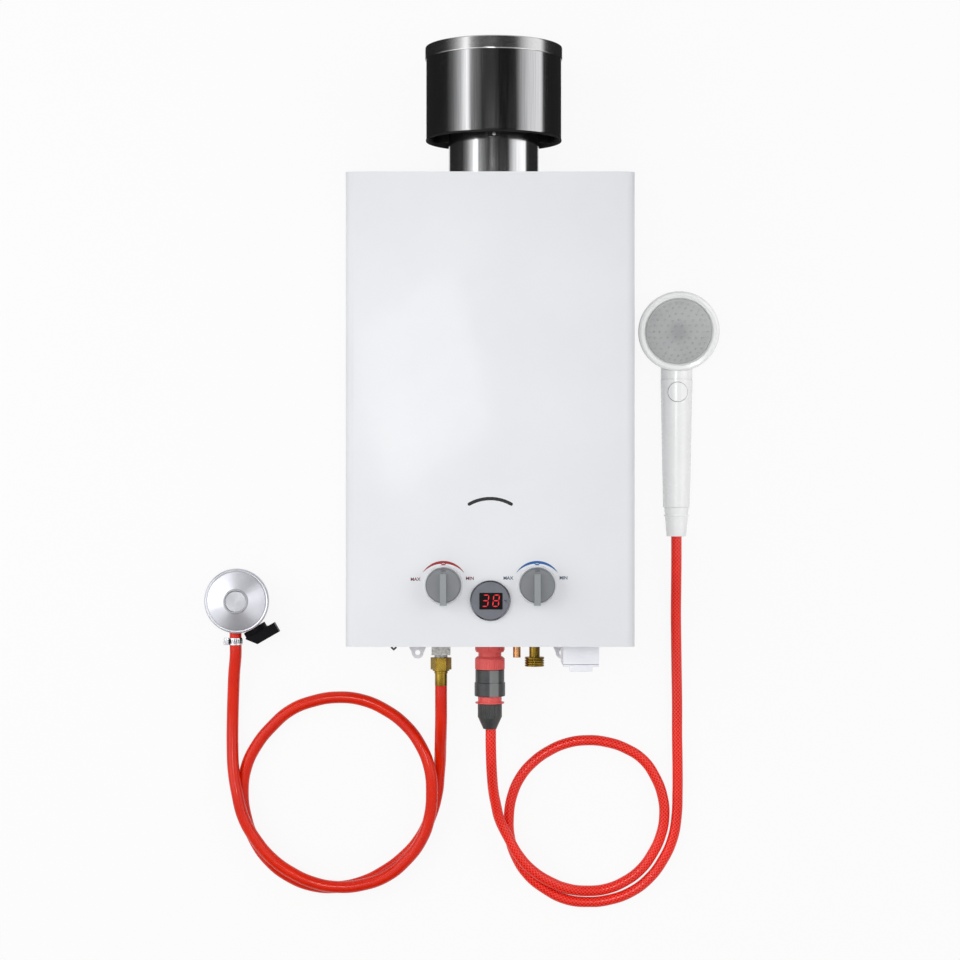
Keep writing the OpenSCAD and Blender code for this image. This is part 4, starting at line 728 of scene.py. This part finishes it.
# %% Castings, brass and copper
finish["cast_alloy"] = moulded("cast_alloy", (204, 204, 200), (150, 150, 147),
    0.45, 0.62, 420, 1100, 0.00015, metal=0.4)
finish["brass"] = moulded("aged_brass", (150, 124, 50), (104, 82, 28),
    0.2, 0.34, 60, 1300, 0.00002, metal=1.0)
drain_brass = moulded("drain_brass", (206, 156, 106), (176, 124, 78), 0.22, 0.36, 60,
    1300, metal=0.9)
finish["copper"] = moulded("browned_copper", (202, 128, 92), (150, 84, 58),
    0.28, 0.46, 40, 900, 0.00003, metal=1.0)
finish["ceramic"] = moulded("white_ceramic", (232, 230, 224), (216, 212, 204),
    0.2, 0.3, 50, 900, 0.00001, coat=0.4)
print("with castings:", len(finish))

# %% Regulator's satin zinc: grooves left by the lathe, and a colour darker in the middle and lighter or darker in rings by radius
ZINC_EDGE = 36
ZINC_MIDDLE = 0.5
ZINC_RINGS = ((11.6, 0.5), (12.2, 0.34), (12.8, 0.9), (13.3, 0.55), (13.8, 1.0),
    (31.2, 1.0), (31.8, 0.45), (32.4, 0.95), (33.4, 0.95), (33.9, 0.6), (34.4, 0.9))


def turned_zinc(name, centre):
    """ZINC_RINGS gives radii in millimetres and how bright the metal is there."""
    material, tree, shader = base_material(name, metal=0.85)
    middle = joined(tree, "ShaderNodeMapping", Vector=coordinates(tree),
        Location=(-centre[0] * MM, -centre[1] * MM, 0)).outputs["Vector"]
    grooves = joined(tree, "ShaderNodeTexWave", {"wave_type": "RINGS", "rings_direction": "Z"},
        i0=middle, i1=420, i2=1.5, i3=2)
    skin = mottled(tree, 26, 1500, (224, 225, 231), (208, 209, 216), 0.3, 0.44)
    radius = vector_maths(tree, "LENGTH", "Value",
        vector_maths(tree, "MULTIPLY", "Vector", middle, (1, 1, 0)))
    ring = joined(tree, "ShaderNodeValToRGB", i0=ranged(tree, radius, 0.0, ZINC_EDGE * MM))
    stops = ring.color_ramp.elements
    for millimetres, bright in ZINC_RINGS:
        stops.new(millimetres / ZINC_EDGE).color = (bright, bright, bright, 1)
    stops[0].color = (ZINC_MIDDLE, ZINC_MIDDLE, ZINC_MIDDLE, 1)
    tree.links.new(blended(tree, 1.0, skin["Color"], ring.outputs[0], "MULTIPLY"),
        shader.inputs["Base Color"])
    height = joined(tree, "ShaderNodeMix", {"data_type": "FLOAT"}, i0=0.35,
        i2=grooves.outputs["Fac"], i3=skin["Height"])
    bumped(tree, shader, skin["Roughness"], height.outputs[0], 0.00006, 0.6)
    return material


finish["zinc"] = turned_zinc("regulator_zinc", (-273.5, -204))
print("metal finishes:", len(finish))

# %% [markdown]
# ## Plastics and rubber
# Knobs, grips and nuts are moulded plastic with a fine matt texture. On three pieces a
# second colour is laid over their own, by a share that depends on the place: a painted
# highlight on the knobs' raised bars and on the sleeve's flat, and a darker middle on the
# spray plate. The gas hose is smooth orange red rubber. The shower hose is clear red vinyl
# over a braid of white yarn, which shows as a net of small diamonds under a glossy skin.

# %% Plastics
finish["grey_plastic"] = moulded("knob_grey", (120, 123, 127), (111, 114, 118),
    0.28, 0.38, 40, 1500, 0.00002)
finish["black_plastic"] = moulded("black_nylon", (66, 68, 67), (50, 52, 51),
    0.3, 0.44, 50, 1400, 0.00002, shine=0.35)
finish["white_plastic"] = moulded("white_abs", (248, 249, 248), (243, 244, 243),
    0.2, 0.28, 24, 1200, 0.00001, coat=0.1)
finish["red_plastic"] = moulded("coral_red_nylon", (234, 98, 94), (218, 78, 76),
    0.3, 0.42, 50, 1400, 0.00002, shine=0.35)
finish["panel_plastic"] = moulded("panel_grey", (112, 114, 123), (103, 105, 114),
    0.4, 0.5, 60, 1600, 0.00002, shine=0.3)
finish["spray_grey"] = moulded("spray_grey", (186, 187, 187), (176, 177, 177),
    0.34, 0.46, 34, 1400, 0.00002, shine=0.35)
battery_white = moulded("battery_box_white", (240, 241, 246), (232, 233, 240),
    0.26, 0.36, 40, 1300, 0.00002)
lever_black = moulded("lever_black", (13, 11, 15), (8, 7, 10), 0.36, 0.5, 50, 1400, shine=0.06)
window_black = moulded("window_black", (12, 9, 10), (6, 5, 6), 0.4, 0.5, 60, 1500, 0.000004,
    shine=0.08)
print("with plastics:", len(finish))


# %% A second colour over the first
def laid_over(material, colour, share_at):
    """share_at(tree, place) gives how much of the colour shows at a place."""
    tree = material.node_tree
    base = tree.nodes["Principled BSDF"].inputs["Base Color"]
    own = base.links[0].from_socket
    share = share_at(tree, coordinates(tree))
    tree.links.new(blended(tree, share, own, tone(*colour)), base)
    print("second colour laid over", material.name)
    return material


# %% Knobs: the raised bar is painted paler, a painted highlight where light falls on its top
LIT_BAR_FROM, LIT_BAR_TO = 157, 161


def lit_bar_share(tree, place):
    height = joined(tree, "ShaderNodeSeparateXYZ", i0=place).outputs[2]
    return ranged(tree, height, LIT_BAR_FROM * MM, LIT_BAR_TO * MM)


# Painted highlight: the top of the bar is painted paler, as if more light fell on it.
knob_grey = laid_over(moulded("knob_grey_lit_bar", (110, 113, 117), (102, 105, 109),
    0.28, 0.38, 40, 1500, 0.00002), (128, 132, 134), lit_bar_share)


# %% Spray plate: a shade darker round its middle
DARK_MIDDLE_CENTRE = Vector((203.5, 86, 46))
DARK_MIDDLE_ALL, DARK_MIDDLE_NONE, DARK_MIDDLE_WOBBLE = 6.5, 19.5, 8


def darker_middle_share(tree, place):
    away = vector_maths(tree, "DISTANCE", "Value", place, DARK_MIDDLE_CENTRE * MM)
    drift = maths(tree, "MULTIPLY_ADD", noise(tree, place, 110, 2), DARK_MIDDLE_WOBBLE * MM, away)
    return ranged(tree, drift, DARK_MIDDLE_ALL * MM, DARK_MIDDLE_NONE * MM, 1.0, 0.0, "SMOOTHSTEP")


laid_over(finish["spray_grey"], (164, 165, 166), darker_middle_share)


# %% Connector's sleeve: a painted highlight runs down its flat, paler than the round sides
FLAT_MIDDLE, FLAT_ALL, FLAT_NONE = 4.5, 3.75, 5.75


def flat_highlight_share(tree, place):
    across = joined(tree, "ShaderNodeSeparateXYZ", i0=place).outputs[0]
    away = maths(tree, "ABSOLUTE", maths(tree, "SUBTRACT", across, FLAT_MIDDLE * MM))
    return ranged(tree, away, FLAT_ALL * MM, FLAT_NONE * MM, 1.0, 0.0, "SMOOTHSTEP")


# Painted highlight: the flat down the sleeve is painted paler.
sleeve_grey = laid_over(moulded("sleeve_dark_grey", (64, 67, 68), (52, 55, 56), 0.3, 0.42, 50,
    1500, shine=0.35), (122, 124, 124), flat_highlight_share)

# %% Things inside the casing
finish["board_green"] = moulded("circuit_board", (54, 110, 70), (34, 82, 52),
    0.3, 0.45, 90, 900, 0.00002)
finish["cell_case"] = moulded("cell_case", (70, 74, 92), (52, 56, 72),
    0.25, 0.35, 60, 900, 0.00001)
finish["lead_insulation"] = moulded("lead_insulation", (52, 52, 54), (36, 36, 38),
    0.35, 0.5, 80, 1500, 0.00001)
print("with inner finishes:", len(finish))


# %% Inks, and the painted shade of the clamp's slots
def ink(name, light, dark, smooth=0.5, rough=0.6, shine=0.5):
    return moulded(name, light, dark, smooth, rough, 90, 1500, shine=shine)


ink_red = ink("ink_red", (156, 8, 18), (138, 4, 14))
ink_dark_red = ink("ink_dark_red", (112, 20, 40), (94, 14, 34))
ink_blue = ink("ink_blue", (0, 88, 158), (0, 76, 142))
ink_slate = ink("ink_slate", (48, 66, 96), (38, 54, 82))
ink_pale = ink("ink_pale", (206, 206, 208), (194, 194, 198), 0.4, 0.5)
ink_grey = ink("ink_grey", (86, 88, 92), (74, 76, 80), shine=0.2)
slot_painted_shade = ink("slot_painted_shade", (60, 62, 66), (44, 46, 50), shine=0.2)
print("inks mixed, from", ink_red.name, "to", ink_grey.name)

# %% Lit figures, a plain surface that also glows in its own colour
LIT_RED = (214, 48, 56)
lit_red = moulded("lit_red", LIT_RED, LIT_RED, 0.3, 0.4, shine=0.1)
glowing = lit_red.node_tree.nodes["Principled BSDF"]
glowing.inputs["Emission Color"].default_value = tone(*LIT_RED)
glowing.inputs["Emission Strength"].default_value = 0.5
print("glows:", lit_red.name)

# %% Hoses
YARNS_ROUND, YARNS_ALONG, YARN_SHARE = 9, 290, 0.36


def hose_finish(name, light, dark, smooth, rough, yarn_tint=None):
    """Rubber or vinyl. With a yarn tint, the braid shows through and gives the bump."""
    material, tree, shader = base_material(name, shine=0.25)
    skin = mottled(tree, 22, 1200, light, dark, smooth, rough)
    colour, height, depth, strength = skin["Color"], skin["Height"], 0.00003, 1.0
    if yarn_tint:
        net = joined(tree, "ShaderNodeGroup", {"node_tree": yarn}, UV=coordinates(tree, "UV"),
            Round=YARNS_ROUND, Along=YARNS_ALONG).outputs
        share = maths(tree, "MULTIPLY", net["Mask"], YARN_SHARE)
        colour = blended(tree, share, colour, tone(*yarn_tint))
        height, depth, strength = net["Height"], 0.00006, 0.5
    tree.links.new(colour, shader.inputs["Base Color"])
    bumped(tree, shader, skin["Roughness"], height, depth, strength)
    return material


finish["gas_rubber"] = hose_finish("orange_red_rubber", (224, 38, 0), (210, 28, 0), 0.18, 0.26)
finish["hose_pvc"] = hose_finish("clear_red_vinyl", (240, 12, 1), (224, 6, 0), 0.14, 0.22,
    (255, 136, 108))
print("hose finishes:", finish["gas_rubber"].name, finish["hose_pvc"].name)


# %% Glass of the viewing slot
def clear_glass(name, tint):
    material, tree, shader = base_material(name, shine=0.3)
    shader.inputs["Base Color"].default_value = tone(*tint)
    shader.inputs["Transmission Weight"].default_value = 0.9
    shader.inputs["IOR"].default_value = 1.5
    skin = mottled(tree, 40, 900, tint, tint, 0.04, 0.1)
    bumped(tree, shader, skin["Roughness"], skin["Height"], 0.000004)
    return material


finish["window_glass"] = clear_glass("slot_glass", (34, 36, 38))
print("finishes:", len(finish))

# %% [markdown]
# ## Dressing the CAD parts
# A CAD part is a mesh of loose flat triangles. A few modifiers make it look solid: weld
# joins the triangles, decimate removes the edges inside flat faces, a narrow bevel
# catches the light along real edges, and weighted normals keep the flats flat.

# %% Give a CAD part its finish
slot_of = {row["node"]: row["material_slot"] for row in frame["record"]["subparts"]}
BEVELLED = {0.1: "back_plate base_panel cap_straps screws", 0.15: "hose_clamp",
    0.2: "flue_collar spray_plate", 0.25: "connector_body drain_plug regulator_cover",
    0.3: "cold_inlet gas_hose_ferrule hose_nut knob_collars regulator_base shower_button "
        "shower_handle shower_head shower_tail", 0.35: "connector_sleeve",
    0.4: "gas_union_nut regulator_coupling regulator_lever tap_adapter", 0.5: "gas_inlet",
    0.6: "battery_lid gas_knob water_knob", 1.0: "battery_box"}
BEVELS = {name: width for width, names in BEVELLED.items() for name in names.split()}
REPLACED = {"gas_hose", "shower_hose", "flue_pipe", "cap_drum", "cap_lid", "display_bezel",
    "display_panel"}


def dress(name, material):
    """BEVELS gives a part's bevel in millimetres. A part without one is only creased."""
    part = nodes[name]
    if not part.data.materials:
        part.data.materials.append(material)
    for slot in part.material_slots:
        slot.material = material
    part.data.shade_smooth()
    weld = part.modifiers.new("weld", "WELD")
    weld.merge_threshold = 1e-5
    if name in BEVELS:
        flat = part.modifiers.new("flats", "DECIMATE")
        flat.decimate_type = "DISSOLVE"
        flat.angle_limit = math.radians(1)
        edge = part.modifiers.new("edges", "BEVEL")
        edge.width = BEVELS[name] * MM
        edge.segments = 2
        edge.limit_method = "ANGLE"
        edge.angle_limit = math.radians(35)
        even = part.modifiers.new("even", "WEIGHTED_NORMAL")
        even.keep_sharp = True
    else:
        split = part.modifiers.new("creases", "EDGE_SPLIT")
        split.split_angle = math.radians(30)
        split.use_edge_sharp = False


print("slots in the record:", len(set(slot_of.values())))
for name in sorted(nodes):
    if name not in REPLACED:
        dress(name, finish[slot_of[name]])
print("CAD parts dressed:", len(nodes) - len(REPLACED))

# %% Finishes of the new pieces
painted = [(flue_pipe_skin, pipe_steel), (drum_skin, finish["flue_steel"]),
    (lid_skin, finish["lid_steel"]), (display_ring, finish["bezel_chrome"]),
    (display_plate, finish["panel_plastic"]), (window, window_black),
    (display_digits, lit_red), (gas_arc, ink_red), (water_arc, ink_blue),
    (word_degree, window_black), (nubs, finish["spray_grey"]), (slots, slot_painted_shade),
    (gas_skin, finish["gas_rubber"]), (shower_skin, finish["hose_pvc"])]
for pieces, material in ((words_red, ink_dark_red), (words_blue, ink_slate),
        (words_on, ink_grey), (arc_marks, ink_pale)):
    painted += [(piece, material) for piece in pieces]
for piece, material in painted:
    piece.data.materials.clear()
    piece.data.materials.append(material)
print("new pieces painted:", len(painted))

# %% Painted shade on the drum's inner side and its lower roll
ROLL_TOP, INWARDS = 0.2884, -0.01
axis = Vector(FLUE_AXIS) * MM
drum_skin.data.materials.append(shade_dark_steel)
for face in drum_skin.data.polygons:
    outwards = face.center - axis
    outwards.y = 0
    # Inward faces and the lower roll take the painted shade.
    if face.normal.dot(outwards) < INWARDS * outwards.length or face.center.y < ROLL_TOP:
        face.material_index = 1
print("shade_painted faces:", sum(face.material_index for face in drum_skin.data.polygons))

# %% Parts whose finish differs from the rest of their slot
# The straps inside the drum take the painted shade too.
for name, material in (("battery_box", battery_white), ("battery_lid", battery_white),
        ("connector_sleeve", sleeve_grey), ("regulator_lever", lever_black),
        ("drain_plug", drain_brass), ("cap_straps", shade_dark_steel), ("gas_knob", knob_grey),
        ("water_knob", knob_grey), ("knob_collars", finish["casing_white"])):
    for slot in nodes[name].material_slots:
        slot.material = material
    print(name, "is in", material.name)

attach(gas_skin, "heater")
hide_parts("gas_hose")
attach(shower_skin, "heater")
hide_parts("shower_hose")
print("hoses declared:", gas_skin.name, shower_skin.name)

# %% [markdown]
# ## The table and the light
# The heater lies on a white table that runs out of the picture. The camera, and what
# glossy metal reflects, see it as plain white, mixed with enough real surface to keep
# soft shadows. Two large soft lamps stand left and right, a weak one is low in front, and
# a wide one above the camera evens out the casing. A small lamp beside the camera adds
# gloss alone, which draws a thin streak along the hoses.

# %% Helpers for what stands round the heater
def seen_rays(tree):
    """1 for what the camera sees, straight, mirrored or through glass, and else 0."""
    ray = tree.nodes.new("ShaderNodeLightPath").outputs
    seen = maths(tree, "MAXIMUM", ray["Is Camera Ray"], ray["Is Glossy Ray"])
    return maths(tree, "MAXIMUM", seen, ray["Is Transmission Ray"])


def stage_board(name, bm, material):
    mesh = bpy.data.meshes.new(name)
    bm.to_mesh(mesh)
    bm.free()
    mesh.materials.append(material)
    return shown(name, mesh)


def flat_card(bm, width, height, centre, tilt=0):
    """Add a rectangle. Its sizes are in metres and its tilt about X in degrees."""
    card = bmesh.ops.create_grid(bm, x_segments=1, y_segments=1, size=0.5)["verts"]
    bmesh.ops.scale(bm, vec=(width, height, 1), verts=card)
    rotated(bm, card, tilt, "X")
    bmesh.ops.translate(bm, vec=centre, verts=card)


def matt_grey(name, grey, shine=0.5):
    material, tree, shader = base_material(name, shine=shine)
    shader.inputs["Base Color"].default_value = (grey, grey, grey, 1)
    shader.inputs["Roughness"].default_value = 0.9
    return material, tree, shader


def only_mirrored(board):
    """Only glossy surfaces see the board, and it adds no light or shadow."""
    board.visible_camera = False
    board.visible_diffuse = False
    board.visible_transmission = False
    board.visible_shadow = False


# %% Table
TABLE_WHITE, SEEN_AS_WHITE = 0.75, 0.9


def table():
    bm = bmesh.new()
    bmesh.ops.create_grid(bm, x_segments=2, y_segments=2, size=12)
    moved(bm, bm.verts, (0, 0, -0.2))
    material, tree, shader = matt_grey("table_white", TABLE_WHITE, 0.1)
    glow = joined(tree, "ShaderNodeEmission", i0=(1, 1, 1, 1), i1=1.0)
    both = joined(tree, "ShaderNodeMixShader", i0=maths(tree, "MULTIPLY", seen_rays(tree),
        SEEN_AS_WHITE), i1=shader.outputs[0], i2=glow.outputs[0])
    tree.links.new(both.outputs[0], tree.nodes["Material Output"].inputs["Surface"])
    board = stage_board("table", bm, material)
    return board


print("table size:", table().dimensions.x)

# %% World
WORLD_LIGHT = 0.36
world = bpy.data.worlds.new("studio")
bpy.context.scene.world = world
world.use_nodes = True
sky = world.node_tree.nodes["Background"]
sky.inputs["Color"].default_value = (1, 1, 1, 1)
level = ranged(world.node_tree, seen_rays(world.node_tree), 0.0, 1.0, WORLD_LIGHT, 1.0)
world.node_tree.links.new(level, sky.inputs["Strength"])
bpy.context.scene.view_settings.view_transform = "Standard"
print("world:", world.name)


# %% Soft lamps
def soft_lamp(name, place, target, width, height, power):
    """A rectangle of light that faces its target. Its power is in watts."""
    data = bpy.data.lights.new(name, "AREA")
    data.shape = "RECTANGLE"
    data.size = width
    data.size_y = height
    data.energy = power
    lamp = shown(name, data)
    lamp.location = place
    aim = Vector(target) - Vector(place)
    lamp.rotation_euler = aim.to_track_quat("-Z", "Y").to_euler()
    return lamp


soft_lamp("left_lamp", (-1.5, 0.2, 1.2), (0, 0, 0), 1.6, 1.6, 15)
soft_lamp("right_lamp", (1.5, 0.2, 1.2), (0, 0, 0), 1.4, 1.4, 9)
for lamp in (soft_lamp("low_lamp", (-0.2, -2.0, 1.7), (0, -0.1, 0), 2.2, 1.2, 4),
        soft_lamp("top_lamp", (-0.1, 0.0, 3.0), (0, -0.05, 0), 1.7, 1.7, 26)):
    lamp.visible_glossy = False
    lamp.visible_camera = False
streak_lamp = soft_lamp("streak_lamp", (-0.2, 0.12, 2.35), (0, -0.35, 0), 0.36, 0.36, 9)
streak_lamp.visible_diffuse = False
streak_lamp.visible_camera = False
print("lamps:", len(bpy.data.lights))

# %% [markdown]
# ## Boards that the metal mirrors
# Polished sheet shows nothing but its surroundings. A photographer bends a board over
# it: pale strips on the board become bright bands on the drum, and bare board stays dark.
# The board is an arch over the flue that only reflections see, so it adds no light. Its
# strips are a colour ramp over the angle round the flue, and two aprons carry the arch on
# down to the table. A dark card in front does the same for the fittings under the base.

# %% Arch that the flue mirrors
ARCH_RADIUS, ARCH_NEAR, ARCH_FAR, ARCH_HALF = 1, 0.3, 1, 94.1
APRON_WIDTH, APRON_DEPTH, APRON_X, APRON_Y, APRON_Z = 0.91, 0.72, 0.545, 0.62, 0.003
RAMP_HALF, ARCH_GLOW = 94, 3.0
ARCH_STRIPS = [(-94, 0.03), (-84, 0.03), (-70, 0.3), (-56, 1.1), (-44, 2.9), (-38, 0.5),
    (-24, 0.22), (-19, 0.06), (6, 0.04), (9, 0.012), (36, 0.02), (46, 0.8), (60, 1.5),
    (84, 1.9), (90, 0.03)]


def arch_board():
    """Half a drum round the flue's axis, and an apron near the floor on each side."""
    bm = bmesh.new()
    near = bm.verts.new(axis + Vector((0, ARCH_NEAR, ARCH_RADIUS)))
    far = bm.verts.new(axis + Vector((0, ARCH_FAR, ARCH_RADIUS)))
    strip = bm.edges.new((near, far))
    rotated(bm, bm.verts, -ARCH_HALF, "Y", axis)
    bmesh.ops.spin(bm, geom=[near, far, strip], cent=axis, axis=(0, 1, 0),
        angle=math.radians(2 * ARCH_HALF), steps=48)
    for side in (-1, 1):
        flat_card(bm, APRON_WIDTH, APRON_DEPTH, (axis.x + side * APRON_X, APRON_Y, APRON_Z))
    return bm


def arch_strips():
    """ARCH_STRIPS gives an angle in degrees, 0 straight over the flue, and a brightness."""
    material, tree, shader = base_material("arch_strips")
    tree.nodes.remove(shader)
    parts = joined(tree, "ShaderNodeSeparateXYZ", i0=coordinates(tree)).outputs
    angle = maths(tree, "ARCTAN2", maths(tree, "SUBTRACT", parts[0], axis.x),
        maths(tree, "SUBTRACT", parts[2], axis.z))
    turn = ranged(tree, angle, math.radians(-RAMP_HALF), math.radians(RAMP_HALF))
    ramp = joined(tree, "ShaderNodeValToRGB", i0=turn)
    stops = ramp.color_ramp.elements
    for degrees, bright in ARCH_STRIPS:
        grey = bright / ARCH_GLOW
        stops.new((degrees + RAMP_HALF) / (2 * RAMP_HALF)).color = (grey, grey, grey, 1)
    stops.remove(stops[-1])
    stops.remove(stops[0])
    glow = joined(tree, "ShaderNodeEmission", i0=ramp.outputs[0], i1=ARCH_GLOW)
    tree.links.new(glow.outputs[0], tree.nodes["Material Output"].inputs["Surface"])
    return material


arch = stage_board("flue_arch", arch_board(), arch_strips())
only_mirrored(arch)
print("arch strips:", len(ARCH_STRIPS))

# %% Low card in front, which darkens the near side of the castings
CARD_GREY, CARD_WIDTH, CARD_HEIGHT, CARD_TILT = 0.04, 1.6, 1.1, 70
CARD_CENTRE = (-0.3, -1.35, 0.62)
low_card = bmesh.new()
flat_card(low_card, CARD_WIDTH, CARD_HEIGHT, CARD_CENTRE, CARD_TILT)
card = stage_board("low_card", low_card, matt_grey("card_grey", CARD_GREY)[0])
only_mirrored(card)
print("card in front:", card.name)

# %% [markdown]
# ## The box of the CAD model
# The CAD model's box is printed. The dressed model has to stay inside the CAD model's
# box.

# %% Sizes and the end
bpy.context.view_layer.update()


def plain(box):
    return [[float(x) for x in corner] for corner in box]


print("CAD box:", plain(cad_box))
